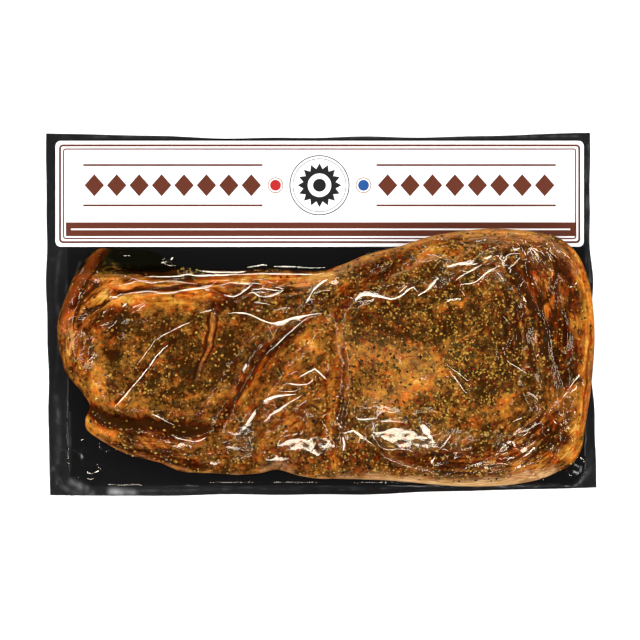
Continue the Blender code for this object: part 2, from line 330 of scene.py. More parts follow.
def edge_lift(plan):
    """The flange rises a little outside the label and the pocket, in uneven waves."""
    label_low = [value - LABEL_MARGIN for value in LABEL_LOW]
    label_high = [value + LABEL_MARGIN for value in LABEL_HIGH]
    off_label = distance_outside(plan, label_low, label_high)
    off_pocket = distance_outside(plan, POCKET_LOW, POCKET_HIGH)
    outside = np.maximum(np.minimum(off_label, off_pocket), 0.0)
    turns = 2 * math.pi * plan / np.array(EDGE_WAVELENGTHS)
    wave = 1.0 - EDGE_WAVE_SHARE * (1.0 - np.sin(turns[:, 0]) * np.cos(turns[:, 1]))
    return EDGE_LIFT * wave * np.clip(outside / EDGE_LIFT_REACH, 0.0, 1.0) ** 1.5


def web_creases(plan, outside):
    """Seal bead, corner creases and the slack film's wrinkles, in millimetres."""
    under_label = distance_outside(plan, LABEL_LOW, LABEL_HIGH)
    free = smooth_step(under_label / 2.0)
    height, width = SEAL_BEAD
    broken = 0.6 + 0.4 * soft_noise(plan, 9.0, 11)
    relief = height * broken * np.exp(-((outside / width) ** 2))
    depth, pitch, reach, corner_reach = CORNER_CREASE
    corner = np.array([POCKET_LOW[0], POCKET_LOW[1]])
    near = np.exp(-(np.linalg.norm(plan - corner, axis=1) / corner_reach) ** 2)
    relief += depth * near * np.sin(2 * math.pi * outside / pitch) * np.exp(-((outside / reach) ** 2))
    flange = smooth_step(outside / 3.0 + 0.5)
    for seed, (depth, size) in enumerate(FLANGE_CREASES):
        relief += flange * depth * (crease_noise(plan, size, 20 + seed) - 0.5)
    depth, size = POCKET_CREASES
    relief += (1.0 - flange) * depth * crease_noise(plan, size, 31)
    for seed, (centre, reach, depth, size) in enumerate(CRUMPLES):
        window = np.exp(-spread_from(plan, centre, reach))
        bumps = np.maximum(soft_noise(plan, size, 33 + seed), crease_noise(plan, size, 43 + seed) - 0.4)
        relief += window * depth * bumps
    return relief * free


web, square = add_grid("black_web", WEB_CELLS)
plan = web_plan(crowd_to_edge(square[:, :2], WEB_EDGE_CROWDING))
outside = distance_outside(plan, POCKET_LOW, POCKET_HIGH, POCKET_RADIUS)
creases = np.maximum(web_creases(plan, outside), 0.0)
place_vertices(web, np.column_stack([plan, WEB_THICKNESS + edge_lift(plan) + creases]))
sealed_share = smooth_step(outside / 2.5 + 0.5)
add_attribute(web, "sealed", sealed_share)
# The flange is made greyer than the pocket, partly hazy film and partly painted sheen, and the streaks add
# painted reflections.
haze_and_sheen = FLANGE_HAZE_AND_SHEEN * sealed_share * (1.0 + 0.6 * soft_noise(plan, 14.0, 12))
for line, half_width, greyer in WEB_STREAKS_AND_SHEENS:
    close, gap, _along = near_line(plan, smooth_curve(line, 4, closed=False), 3 * half_width)
    haze_and_sheen[close] = np.maximum(haze_and_sheen[close], greyer * np.exp(-((gap / half_width) ** 2)))
add_attribute(web, "haze_and_sheen", haze_and_sheen * (0.75 + 0.5 * soft_noise(plan * np.array([1.0, 0.35]), 2.4, 13)))
web.data.shade_smooth()
wall = web.modifiers.new("thickness", "SOLIDIFY")
wall.thickness = WEB_THICKNESS * MM
wall.offset = -1.0
bpy.ops.object.modifier_apply(modifier=wall.name)


def add_node(material, kind, sockets=None, **settings):
    """Adds a node. Each named socket takes a number, a colour or an output of another node."""
    node = material.node_tree.nodes.new(kind)
    for setting, value in settings.items():
        setattr(node, setting, value)
    for socket, value in (sockets or {}).items():
        if isinstance(value, bpy.types.NodeSocket):
            material.node_tree.links.new(value, node.inputs[socket])
        else:
            node.inputs[socket].default_value = value
    return node


def feed(material, node, **links):
    """Links outputs of other nodes to a node's sockets, with _ for a space in the socket's name."""
    for socket, output in links.items():
        material.node_tree.links.new(output, node.inputs[socket.replace("_", " ")])


def object_place(material):
    """Where a point of the piece lies, in metres."""
    return add_node(material, "ShaderNodeTexCoord").outputs["Object"]


def read_attribute(material, name):
    """A number that the mesh keeps at each vertex."""
    return add_node(material, "ShaderNodeAttribute", attribute_name=name).outputs["Fac"]


def noise_node(material, place, scale, detail, roughness=0.5):
    """Cloudy noise, with its scale in cells per metre."""
    sockets = {"Vector": place, "Scale": scale, "Detail": detail, "Roughness": roughness}
    return add_node(material, "ShaderNodeTexNoise", sockets).outputs["Fac"]


def math_node(material, operation, *values, **settings):
    """What a Math node makes of two or three values."""
    sockets = dict(enumerate(values))
    return add_node(material, "ShaderNodeMath", sockets, operation=operation, **settings).outputs[0]


def range_node(material, value, low, high, start=0.0, end=1.0):
    """Turns a value between start and end into one between low and high."""
    sockets = {"Value": value, "From Min": start, "From Max": end, "To Min": low, "To Max": high}
    return add_node(material, "ShaderNodeMapRange", sockets).outputs[0]


def bump_node(material, height, strength, distance):
    """Normals that are dented by a height."""
    sockets = {"Height": height, "Strength": strength, "Distance": distance}
    return add_node(material, "ShaderNodeBump", sockets).outputs["Normal"]


def mix_colour(material, factor, first, second, blend="MIX"):
    """Mixes two colours, each given as a value or as another node's output."""
    # The Mix node has one set of sockets for each type of data, so its colours go by their places.
    mixer = add_node(material, "ShaderNodeMix", {"Factor": factor}, data_type="RGBA", blend_type=blend)
    for index, value in ((6, first), (7, second)):
        if isinstance(value, bpy.types.NodeSocket):
            material.node_tree.links.new(value, mixer.inputs[index])
        else:
            mixer.inputs[index].default_value = value
    return mixer.outputs[2]


web_finish, shader = new_material("black barrier film")
place = object_place(web_finish)
cloud = range_node(web_finish, noise_node(web_finish, place, 90.0, 5.0), 0.0, 1.0, 0.3, 0.75)
# The grey mixed in here is partly the film's own and partly painted sheen and reflections.
haze_and_sheen = math_node(web_finish, "MULTIPLY", read_attribute(web_finish, "haze_and_sheen"), cloud)
black = mix_colour(web_finish, haze_and_sheen, WEB_BLACK, WEB_GREY)
gloss = range_node(web_finish, read_attribute(web_finish, "sealed"), 0.12, 0.27)
bump = bump_node(web_finish, noise_node(web_finish, place, 420.0, 4.0), 0.25, 0.0006)
feed(web_finish, shader, Base_Color=black, Roughness=gloss, Normal=bump)
web.data.materials.append(web_finish)
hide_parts("backing_film")
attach(web, "root")

# The seal itself is a narrow uneven bead round the pocket, which stands clear of the web in places.
BEAD_STEP = 1.5
BEAD_RADIUS = 0.55
BEAD_SIDES = 8
BEAD_FLATNESS = 1.5
BEAD_SUNK = 0.15
# How far the bead wanders and how much its thickness varies, each with its pitch, and the pitch of its gaps.
BEAD_WANDER = (0.5, 5.0)
BEAD_KNOBS = (0.55, 3.4)
BEAD_GAPS = 40.0
bead_film, shader = new_material("black film at the seal")
shader.inputs["Base Color"].default_value = (0.006, 0.006, 0.0062, 1.0)
shader.inputs["Specular IOR Level"].default_value = 1.0
uneven = noise_node(bead_film, object_place(bead_film), 500.0, 3.0)
dents = bump_node(bead_film, uneven, 0.35, 0.0008)
feed(bead_film, shader, Roughness=range_node(bead_film, uneven, 0.12, 0.3), Normal=dents)


def new_piece(name, points, faces, material):
    """A piece made of points in millimetres and faces."""
    mesh = bpy.data.meshes.new(name)
    mesh.from_pydata((points * MM).tolist(), [], faces)
    mesh.materials.append(material)
    piece = bpy.data.objects.new(name, mesh)
    bpy.context.scene.collection.objects.link(piece)
    return piece


CORNER_STEPS = 5


def rounded(left, low, right, high, radius):
    """A rectangle with round corners."""
    points = []
    middles = ((right - radius, high - radius), (left + radius, high - radius),
               (left + radius, low + radius), (right - radius, low + radius))
    for quarter, (x, y) in enumerate(middles):
        for step in range(CORNER_STEPS + 1):
            turn = (quarter + step / CORNER_STEPS) * math.pi / 2
            points.append((x + radius * math.cos(turn), y + radius * math.sin(turn)))
    return [points]


corners = np.array(rounded(*POCKET_LOW, *POCKET_HIGH, POCKET_RADIUS)[0])
corners = np.vstack([corners, corners[:1]])
run = np.concatenate([[0.0], np.cumsum(np.linalg.norm(np.diff(corners, axis=0), axis=1))])
places = np.linspace(0.0, run[-1], int(run[-1] / BEAD_STEP), endpoint=False)
middle = np.column_stack([np.interp(places, run, corners[:, axis]) for axis in (0, 1)])
heading = np.roll(middle, -1, axis=0) - np.roll(middle, 1, axis=0)
heading /= np.linalg.norm(heading, axis=1)[:, None]
across = np.column_stack([-heading[:, 1], heading[:, 0]])
middle += across * (BEAD_WANDER[0] * soft_noise(middle, BEAD_WANDER[1], 15))[:, None]
shows = np.clip(0.25 + 1.5 * soft_noise(middle, BEAD_GAPS, 19), 0.0, 1.0)
shows *= smooth_step((LABEL_LOW[1] - LABEL_MARGIN - middle[:, 1]) / 3.0)
thick = BEAD_RADIUS * shows * (1.0 + BEAD_KNOBS[0] * soft_noise(middle, BEAD_KNOBS[1], 16))
turns = np.arange(BEAD_SIDES) * 2 * math.pi / BEAD_SIDES
sides = middle[:, None] + across[:, None] * (thick[:, None] * BEAD_FLATNESS * np.cos(turns))[:, :, None]
heights = WEB_THICKNESS - BEAD_SUNK + thick[:, None] * (0.4 + np.sin(turns))
points = np.concatenate([sides, heights[:, :, None]], axis=2).reshape(-1, 3)
count = len(middle)
faces = []
for i in range(count):
    here, ahead = i * BEAD_SIDES, (i + 1) % count * BEAD_SIDES
    for k in range(BEAD_SIDES):
        beside = (k + 1) % BEAD_SIDES
        faces.append((here + k, ahead + k, ahead + beside, here + beside))
bead = new_piece("seal_bead", points, faces, bead_film)
bead.data.shade_smooth()
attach(bead, "root")


# Label: smooth white paper with a faint tooth, stuck on the upper flange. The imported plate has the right
# shape, so it stays and takes a finish of its own.
label_paper, shader = new_material("label paper")
fibre = noise_node(label_paper, object_place(label_paper), 900.0, 4.0)
tone = range_node(label_paper, fibre, 0.9, 0.94)
white = add_node(label_paper, "ShaderNodeCombineColor", {0: tone, 1: tone, 2: tone}).outputs[0]
feed(label_paper, shader, Base_Color=white, Normal=bump_node(label_paper, fibre, 0.08, 0.0002))
set_finish(shader, 0.5, 0.2)
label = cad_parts["label"]
for slot_place in label.material_slots:
    slot_place.material = label_paper
LABEL_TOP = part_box("label")[1].z / MM


# Label print: flat ink shapes on the paper, a brown frame, band and rules round plain geometric figures.
# Each ink is one piece, cut as a flat filled curve and raised just above the paper.
INK_RISE = 0.06
INK_WEAR = (0.88, 1.12)
INK_SUNK = 0.01
INK_BROWN = (0.088, 0.018, 0.007)
INK_BLACK = (0.007, 0.0065, 0.0065)
INK_RED = (0.36, 0.011, 0.012)
INK_BLUE = (0.008, 0.06, 0.22)
INK_GOLD = (0.22, 0.12, 0.048)
INK_GREY = (0.05, 0.045, 0.045)
INK_WHITE = (0.86, 0.84, 0.82)


def bar(left, low, right, high):
    """A plain rectangle."""
    return [[(left, low), (right, low), (right, high), (left, high)]]


def regular(x, y, radius, corners, inner=None):
    """A regular polygon, or a star where an inner radius is given. Many corners make a disc."""
    count = corners * (2 if inner else 1)
    points = []
    for i in range(count):
        reach = inner if inner and i % 2 else radius
        angle = math.pi / 2 + 2 * math.pi * i / count
        points.append((x + reach * math.cos(angle), y + reach * math.sin(angle)))
    return [points]


def ring(x, y, radius, width, corners):
    """A round line: a disc with a smaller disc cut out of it."""
    return regular(x, y, radius, corners) + regular(x, y, radius - width, corners)


def frame_line(inset, width, radius):
    """A rounded rectangular line that runs inside the label's edge."""
    edges = LABEL_LOW[0] + inset, LABEL_LOW[1] + inset, LABEL_HIGH[0] - inset, LABEL_HIGH[1] - inset
    inner = edges[0] + width, edges[1] + width, edges[2] - width, edges[3] - width
    return rounded(*edges, radius) + rounded(*inner, max(radius - width, 0.2))


LOZENGE_GAP = 0.12


def lozenge_row(left, right, middle, height, count):
    """A row of lozenges from left to right."""
    pitch = (right - left) / count
    half = pitch * (1.0 - LOZENGE_GAP) / 2
    shapes = []
    for i in range(count):
        x = left + (i + 0.5) * pitch
        below, above = middle - height / 2, middle + height / 2
        shapes.append([(x - half, middle), (x, below), (x + half, middle), (x, above)])
    return shapes


def print_piece(name, shapes, colour, layer=0):
    """One ink on the label: all its flat shapes, filled, given a little thickness and made a mesh."""
    outline = bpy.data.curves.new(name, "CURVE")
    outline.dimensions = "2D"
    outline.fill_mode = "BOTH"
    outline.extrude = INK_RISE * MM / 2
    for shape in shapes:
        spline = outline.splines.new("POLY")
        spline.points.add(len(shape) - 1)
        for point, (x, y) in zip(spline.points, shape):
            point.co = (x * MM, y * MM, 0.0, 1.0)
        spline.use_cyclic_u = True
    piece = bpy.data.objects.new(name, outline)
    bpy.context.scene.collection.objects.link(piece)
    bpy.ops.object.select_all(action="DESELECT")
    piece.select_set(True)
    bpy.context.view_layer.objects.active = piece
    bpy.ops.object.convert(target="MESH")
    piece = bpy.context.object
    piece.location.z = (LABEL_TOP + INK_RISE * (layer + 0.5) - INK_SUNK) * MM
    bpy.ops.object.transform_apply(location=True, rotation=False, scale=False)
    ink, ink_shader = new_material(name + " ink")
    shade = range_node(ink, noise_node(ink, object_place(ink), 700.0, 3.0), *INK_WEAR)
    tinted = add_node(ink, "ShaderNodeVectorMath", {0: colour, 1: shade}, operation="MULTIPLY").outputs[0]
    feed(ink, ink_shader, Base_Color=tinted)
    set_finish(ink_shader, 0.42, 0.25)
    piece.data.materials.append(ink)
    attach(piece, "root")


print_piece("label_frame", frame_line(2.0, 1.25, 2.4) + frame_line(4.3, 0.85, 1.6), INK_BROWN)
print_piece("label_band", bar(-148.0, 44.95, 147.3, 53.0), INK_BROWN)
print_piece("label_band_rule", bar(-145.0, 48.5, 144.3, 49.4), INK_WHITE, layer=1)
figures = []
for left, right in ((-138.0, -34.0), (32.0, 136.0)):
    figures += lozenge_row(left, right, 74.5, 13.0, 8)
    figures += bar(left, 85.6, right, 86.8) + bar(left, 62.2, right, 63.4)
print_piece("label_figures", figures, INK_BROWN)
print_piece("label_rings", ring(-1.0, 74.5, 17.5, 0.7, 64) + ring(-1.0, 74.5, 15.6, 0.45, 64), INK_GREY)
emblem = regular(-1.0, 74.5, 12.8, 16, inner=9.6) + ring(-1.0, 74.5, 6.8, 3.0, 32)
print_piece("label_emblem", emblem, INK_BLACK)
print_piece("label_red_dots", regular(-26.5, 74.5, 3.2, 32), INK_RED)
print_piece("label_blue_dots", regular(24.5, 74.5, 3.2, 32), INK_BLUE)
print_piece("label_dot_rims", ring(-26.5, 74.5, 4.6, 0.6, 32) + ring(24.5, 74.5, 4.6, 0.6, 32), INK_GOLD)


# Meat: one lobed muscle, thick at the right, in orange brown oily marinade that fills its creases. Its form
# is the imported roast's, with finer folds and grain.
FOOT = 1.1
ROAST_OUTLINE = (
    (-152, -5), (-147, 11), (-141, 25), (-135, 34), (-128, 38), (-112, 38), (-97, 36), (-88, 30),
    (-76, 26.5), (-51, 25), (-32, 26), (-12, 25), (1, 25), (14, 29), (26, 34), (46, 39), (61, 44),
    (77, 47), (97, 49), (117, 48), (129, 46), (138, 43), (147, 35), (152, 25), (155, 14), (157, -4),
    (157, -21), (155, -44), (152, -64), (150, -77), (145, -86), (136, -91), (123, -96), (103, -99),
    (75, -99), (40, -96), (9, -95), (-2, -95), (-14, -93), (-25, -90), (-36, -92), (-48, -93),
    (-64, -92), (-81, -91), (-93, -86), (-112, -81), (-127, -73), (-135, -67), (-136, -61),
    (-133.5, -53), (-138, -45), (-147, -34), (-151, -20),
)
OUTLINE_STEPS = 6
ROAST_LOBES = (
    # centre, half lengths and height of each lobe
    ((84, -22), (96, 92), 42.0),
    ((14, -40), (62, 66), 36.0),
    ((-86, -24), (84, 62), 29.0),
    ((-84, -80), (70, 24), 15.0),
    ((-36, 10), (66, 26), 22.0),
    ((-128, -8), (26, 40), 20.0),
)
LOBE_FALL = 0.42
LOBE_BLEND = 0.45
POOL_LOWER_EDGE = 20.0
POOL_RIGHT_EDGE = -82.0
POOL_HEIGHT = 2.5
POOL_BANK_WIDTH = 9.0
ROAST_FOLDS = (
    # line, height (a groove is negative) and half width
    (((18, 30), (-12, -6), (-34, -21), (-50, -47), (-67, -73)), -6.5, 7.0),
    (((-134, -54), (-121, -63), (-98, -71), (-67, -71)), -6.0, 4.5),
    (((-148, -4), (-125, 11), (-103, 19), (-70, 19), (-34, 22)), 2.6, 3.6),
    (((-138, -9), (-124, 4), (-108, 9), (-72, 13)), 2.0, 3.4),
    (((-149, -2), (-144, 10), (-137, 24), (-127, 34)), 5.0, 3.6),
    (((110, 30), (123, 8), (130, -9), (135, -50), (137, -73)), -4.0, 6.5),
    (((8, 8), (7, -21), (10, -50), (7, -90)), -2.4, 4.5),
    (((86, -94), (103, -90), (120, -77), (135, -61)), 3.0, 4.5),
    (((-25, -89), (-21, -76), (-12, -61)), -3.5, 6.0),
    (((22, 18), (44, 27), (70, 31)), -3.0, 6.0),
    (((-2, -18), (-22, -34), (-36, -58)), 2.6, 7.0),
)
FOLD_END_SHARE = 0.25
FOLD_TAPER_SHARE = 0.18
SPINE_HALF_LENGTH = 88.0
ROAST_CENTRE = (2.0, -28.0)
ELLIPSE_RADII = (150.0, 62.0)
OUTLINE_BLEND_POWER = 2.2
WIDEST_SHARE = 0.5
SHOULDER_SHARE = 0.95
SHOULDER_ROUNDNESS = 2.4
UNDERCUT_SHARE = 0.86
UNDERCUT_ROUNDNESS = 1.9
ROAST_CELLS = (400, 190)
ROAST_SIDE_RINGS = 9
ROAST_CROWDING = 0.1
FILM_ALLOWANCE = 1.0
MEAT_GRAIN = ((0.8, 19.0), (0.4, 8.0), (0.2, 3.2))
# Where the skin of the meat and the film are gathered in folds: centre and reach in X and Y, the way the
# folds run in degrees, their pitch, length and depth, and how many fine pleats stand in the film there.
GATHERS = (
    ((125.5, -3.6), (22, 42), 103, 4.5, 22, 1.3, 30),  # right end
    ((128, 29.7), (26, 14), 118, 4.0, 12, 1.2, 20),  # upper right corner
    ((88, 28), (30, 14), 28, 7.0, 26, 0.55, 6),  # upper right slope
    ((128, -72), (28, 18), 38, 4.5, 16, 1.3, 28),  # lower right corner
    ((91, -84), (40, 10), 15, 4.0, 20, 0.9, 14),  # lower right edge
    ((5, -81), (30, 14), 85, 7.0, 16, 0.6, 6),  # foot of the seam
    ((-18, -61), (26, 26), 40, 6.0, 18, 0.5, 8),  # centre
    ((-98, -78), (42, 10), -18, 4.0, 18, 0.8, 12),  # flap
    ((-141, -15), (12, 34), 72, 4.0, 14, 0.9, 8),  # left cheek
    ((-130, 8), (16, 16), 38, 4.0, 18, 1.1, 8),  # left folds
    ((-81, 16.5), (60, 9), 3, 3.2, 26, 0.9, 14),  # upper left band
    ((-21, 13.6), (28, 12), 12, 4.5, 16, 0.9, 10),  # upper middle
    ((31, 8), (30, 14), 20, 7.0, 22, 0.7, 5),  # shoulder
    ((-24, -21), (16, 30), 50, 5.0, 24, 0.5, 4),  # valley
    ((80, 42), (60, 6), 8, 3.0, 24, 0.7, 10),  # upper rim
    ((149.6, -26.5), (5, 60), 92, 3.0, 30, 0.6, 3),  # right rim
    ((85, -93), (75, 4), 2, 2.5, 30, 0.6, 8),  # lower rim
)
# The middle line of the edge that is rolled up at the thin end.
ROLLED_RIM = ((-147.5, -5), (-143.5, 7.5), (-138, 20.5), (-132.5, 30), (-126.5, 36))
# Where the marinade and the meat change colour, and where shade is painted into creases, between layers and
# under the overhang: a line, its half width, then how much more orange, darker or tanner it is there. A dark
# line is also a shallow groove.
TINT_AND_SHADE_LINES = (
    # rolled rim at the left
    (ROLLED_RIM, 2.6, 0.12, 0.14, 0),
    # painted shadow inside the rolled rim
    (((-142, -3.5), (-137.5, 8), (-132.5, 19), (-126.5, 29)), 0.8, -0.1, 0.8, 0),
    # band along the upper left
    (((-127, 12.5), (-92.5, 17.5), (-46.5, 20), (-18, 21), (4, 23)), 4, 0.62, 0, 0),
    (((-120, 8.5), (-92.5, 6), (-78, 8.5), (-57, 13.5)), 3.5, 0.55, 0, 0),
    (((-121, 12), (-97, 14.5), (-61, 17), (-46.5, 16.5)), 1, 0, 0.5, 0),
    (((-112.5, 20), (-98, 20), (-69.5, 21), (-43.5, 22)), 0.8, 0, 0.45, 0),
    # folds into the left edge
    (((-147.5, -2.5), (-139.5, 1), (-131.5, 6.5), (-124.5, 12.5)), 2, 0.5, 0, 0),
    (((-144, 3.5), (-138.5, 8.5), (-128, 17.5)), 1.5, 0, 0.5, 0),
    (((-139.5, -5), (-132.5, 0.5), (-125, 6)), 1, 0, 0.6, 0),
    (((-136, -5.5), (-131, 0.5), (-123.5, 6)), 1.5, 0.4, 0, 0),
    # left edge and cheek
    (((-146.5, -7), (-143, -11), (-144, -19)), 2.5, 0.35, 0, 0.3),
    (((-142.5, -10.5), (-143, -18.5)), 1.5, 0, 0, 0.6),
    (((-140.5, -18), (-136, -26.5), (-131.5, -37), (-128, -46.5)), 5, 0.32, 0, 0),
    (((-128.5, -10.5), (-128, -45)), 2.5, 0.25, 0, 0),
    # thin end
    (((-107, -5), (-72.5, -26.5), (-86.5, -41), (-109.5, -32.5)), 12.5, -0.16, 0, 0),
    (((-46.5, -9.5), (-53.5, -23.5), (-66.5, -41)), 8, -0.18, 0, 0),
    (((-122.5, 0), (-117.5, -9.5), (-121, -22)), 4, -0.05, 0.25, 0),
    (((-121, -54), (-98, -57.5), (-72.5, -56.5)), 4, 0, 0.15, 0),
    # overhang and flap
    # painted shadow under the overhang
    (((-131.5, -56), (-120.5, -62), (-85, -65.5), (-68, -67.5)), 3.6, -0.2, 0.95, 0),
    (((-135, -62), (-131.5, -68), (-120, -69.5)), 2.5, 0.55, 0, 0),
    (((-98, -73), (-76.5, -73.5), (-66.5, -71.5)), 3.5, 0.3, 0, 0),
    (((-122.5, -74.5), (-92.5, -85), (-75, -88.5)), 4, -0.1, 0.25, 0),
    (((-128.5, -72.5), (-92.5, -87), (-69.5, -92), (-47.5, -94)), 1, 0.35, 0, 0.3),
    # cords of the thin end
    (((-60.5, 4), (-63, -12), (-68, -27), (-71, -37)), 0.9, 0.2, 0.1, 0.1),
    (((-62.6, 3), (-65, -12), (-70, -27), (-72.5, -36)), 0.6, 0, 0.75, 0),
    (((-58.8, 2), (-61.2, -12), (-66.2, -27)), 0.5, 0, 0.5, 0),
    (((-85, -15), (-95, -25), (-104, -37), (-117, -50)), 0.8, 0, 0.7, 0),
    (((-86.5, -18.5), (-96.5, -28.5), (-105.5, -39.5), (-117, -52)), 1.0, 0.25, 0, 0),
    (((-72.5, -48.5), (-49.5, -45.5)), 3, 0.25, 0, 0),
    (((-118.5, -49.5), (-101, -52)), 3.5, 0.25, 0, 0),
    # valley
    (((-12, -7.5), (-29.5, -22.5), (-42.5, -41.5), (-49, -49.5)), 2.2, -0.1, 0.6, 0),
    (((-31.5, -25.5), (-38.5, -37), (-47.5, -52)), 1.2, 0.65, -0.3, 0),
    (((-26.5, -25.5), (-33, -37), (-40.5, -49.5)), 1.5, 0.15, 0.15, 0),
    (((-49, -50.5), (-54.5, -60), (-61.5, -68)), 3, 0.05, 0.25, 0),
    # centre and seam
    (((-10.5, -14), (-5.5, -29.5), (-11, -49.5), (-34, -79.5)), 11.5, 0.14, 0, 0),
    (((-10.5, -10.5), (-5.5, -18.5)), 3.5, 0.3, 0, 0),
    (((-19, -61), (-8.5, -65.5)), 4, 0.22, 0, 0),
    (((-43.5, -72.5), (-58, -78), (-72, -82)), 8, -0.08, 0, 0),
    (((8.5, -10.5), (9, -29.5), (5.5, -66.5), (7, -88.5)), 2.0, 0.28, 0, 0),
    (((12, -18), (12.5, -38), (11.5, -61)), 1.5, 0, 0.35, 0),
    (((4, -35), (3, -49.5), (1, -68)), 1.5, 0, 0.35, 0),
    # upper middle
    (((-36, 9.5), (-12, 6.5), (2, 12.5)), 5, -0.15, 0, 0),
    (((-13.5, 17.5), (2, 20.5), (15, 25.5)), 2.5, 0.2, 0, 0.3),
    (((-37.5, 17), (-42.5, 13.5), (-47.5, 9), (-51, 4)), 1.5, 0, 0.9, 0),
    (((-59, 11.5), (-55, 8.5), (-61, 5)), 3, 0, 0.5, 0),
    # upper rim and shoulder
    (((13.5, 28), (33.5, 35.5), (76.5, 45.5), (102.5, 47.5), (125.5, 44.5)), 2, 0.38, 0, 0.22),
    (((59, 33), (66.5, 36.5)), 3.5, 0.6, 0, 0),
    (((23.5, 25), (36.5, 29), (44, 32.5)), 4, -0.02, 0.4, 0),
    (((12, 12.5), (22.5, 19), (51, 29)), 1.5, 0.1, 0.3, 0),
    (((8.5, -2.5), (13.5, 5.5), (17.5, 12.5)), 2, 0.1, 0.4, 0),
    # thick end
    (((39.5, 1), (88, 8), (105.5, -6.5), (108.5, -26.5), (91, -38)), 15, -0.15, 0, 0),
    (((20, -21), (51, -25.5), (59.5, -34.5), (32.5, -48)), 6.5, 0.26, -0.05, 0.08),
    (((63.5, -22), (67, -32.5), (60, -43)), 2.5, 0.35, 0, 0),
    (((74, 6.5), (78, 4.5)), 2, 0.6, 0, 0),
    (((102.5, -48.5), (109.5, -54), (98, -58.5)), 4, 0.25, 0, 0),
    # upper right corner
    (((106, 28.5), (114, 17), (124.5, -1.5)), 2, 0, 0.65, 0),
    (((116.5, 29.5), (119.5, 19.5), (130, -10.5)), 1.5, 0, 0.55, 0),
    (((133.5, 20.5), (135, 8), (137, -9.5)), 1.5, 0, 0.45, 0),
    (((121.5, 29.5), (130, 17.5), (138.5, 8)), 4, 0.1, 0.1, 0.08),
    (((85.5, 43.5), (122.5, 43), (136, 36.5), (145, 25)), 2.5, 0.15, 0, 0.35),
    # right edge
    (((144, 35.5), (153, 6.5), (153, -10.5), (148.5, -55), (141.5, -83)), 3, 0.5, -0.1, 0),
    (((156.5, -13), (156, -26.5), (151.5, -63.5)), 1.2, 0.1, 0.25, 0.2),
    (((154.5, -7), (154, -21), (149.5, -60)), 0.6, 0, 0.5, 0),
    (((138, 30), (143, 12), (137.5, -9.5), (142, -22), (140.5, -40.5)), 4, -0.1, 0.4, 0),
    # lower right corner
    (((102.5, -81), (129, -64), (144.5, -41.5)), 2.5, 0.1, 0.1, 0),
    (((111, -91), (130, -85.5), (140.5, -78)), 2.5, 0.45, 0, 0),
    (((121, -68), (132.5, -65), (137, -72.5)), 4, 0, 0.35, 0),
    # lower edge
    (((45, -96), (59, -97), (102.5, -97), (132.5, -91)), 2.3, 0.15, 0, 1.2),
    (((26, -94.7), (45, -96)), 2.3, 0.12, 0, 0.85),
    (((11, -96), (26, -94.7)), 2.3, 0.1, 0, 0.6),
    (((-69.5, -92.5), (-46.5, -94), (-18, -93), (5, -96)), 1, 0.1, 0, 0.45),
    (((-34, -90.5), (-25.5, -86.5), (-16, -89.5)), 1.3, 0, 0.15, 0.5),
    (((16.5, -81), (39.5, -84), (86.5, -84)), 4.5, -0.05, 0.35, 0),
    (((35.5, -82), (50, -87), (64.5, -91)), 1, 0, 0, 0.45),
    # furrows and strands of the right end
    (((124.5, -1.5), (127, -8), (129, -15), (130, -22), (130, -30)), 1.6, 0, 0.75, 0),
    (((135, -4), (139, -12), (142, -20), (144, -27.5)), 5, -0.12, 0.5, 0),
    (((133, 33.5), (135, 25), (135, 13.5)), 0.9, 0, 0.6, 0),
    (((127, 21), (129.5, 16), (128.5, 9.5)), 1.6, 0.12, 0.15, 0),
    (((140.5, 20.5), (138.5, 13.5), (140, 7.5)), 1.3, 0.3, 0, 0),
    (((144, 8), (145, 1), (147.5, -7)), 1.3, 0.35, 0, 0),
    (((145.5, -42.5), (138, -49), (131, -54.5), (125.5, -61)), 1.5, 0.4, 0, 0),
    (((148, -66.5), (148.5, -74.5), (145.5, -81)), 2.6, 0.45, 0, 0),
    # fine creases of the upper left band
    (((-82, 16), (-75, 16), (-67, 15.5)), 0.9, 0.05, 0.45, 0),
    (((-111, 21), (-98, 20), (-81, 20.5), (-61, 21.5)), 0.8, 0.15, 0.3, 0),
    # furrows and swells beside the right end
    (((106, 25.5), (113, 13), (117.5, 5), (121.5, 1)), 1, 0, 0.75, 0),
    (((134, 33.5), (134, 19.5), (128, 7.5), (125, 1)), 1, 0, 0.7, 0),
    (((105.5, -14), (110.5, -6.5), (116.5, -1.5), (121.5, 0.5)), 0.9, 0.05, 0.5, 0),
    (((110, 29.5), (115, 18), (120.5, 9)), 1, 0.3, 0, 0),
    (((128.5, 8), (130.5, 1), (132, -5)), 1.3, 0.25, 0, 0),
    (((142, -0.5), (145.5, -9.5), (148, -18)), 1.2, 0.3, 0, 0),
    (((104, -76), (118, -74), (132, -66)), 8, -0.12, 0.12, 0),
    # pool of marinade
    (((-99, 27), (-90, 26.5), (-82, 26)), 2.4, -0.5, 0.2, 0),
    (((-124, 33), (-115, 33)), 4, -0.6, 0, 0),
    (((-119.5, 29), (-117.5, 27)), 1.6, 0.5, 0, 0),
    (((-98, 27), (-90, 24)), 2.5, 0.35, 0, 0),
    (((-124, 30), (-116, 26), (-112, 24)), 5, 0.05, 0, 0),
    (((-106, 32), (-96, 30), (-80, 26)), 8, -1.2, 0, 0),
    (((-128.5, 36.5), (-115.5, 37)), 1.5, 0.25, 0.1, 0),
    # upper edge, ridges of the shoulder and bank of the pool
    (((-101, 23), (-72, 24.2), (-50, 24.4), (-20, 24.8), (6, 25.5)), 1.5, -0.4, 0.6, 0),
    (((40.5, 22), (56, 29), (65.5, 31.5)), 0.9, 0, 0, 0.5),
    (((71, 27), (83, 36), (90, 40.5)), 0.8, 0, 0, 0.45),
    (((-128, 20.5), (-120, 18), (-113, 17)), 2.5, 0.3, 0, 0),
)
TINT_SPREAD = 1.25
GROOVE_DEPTH = 1.1
BASE_ORANGE = 0.23
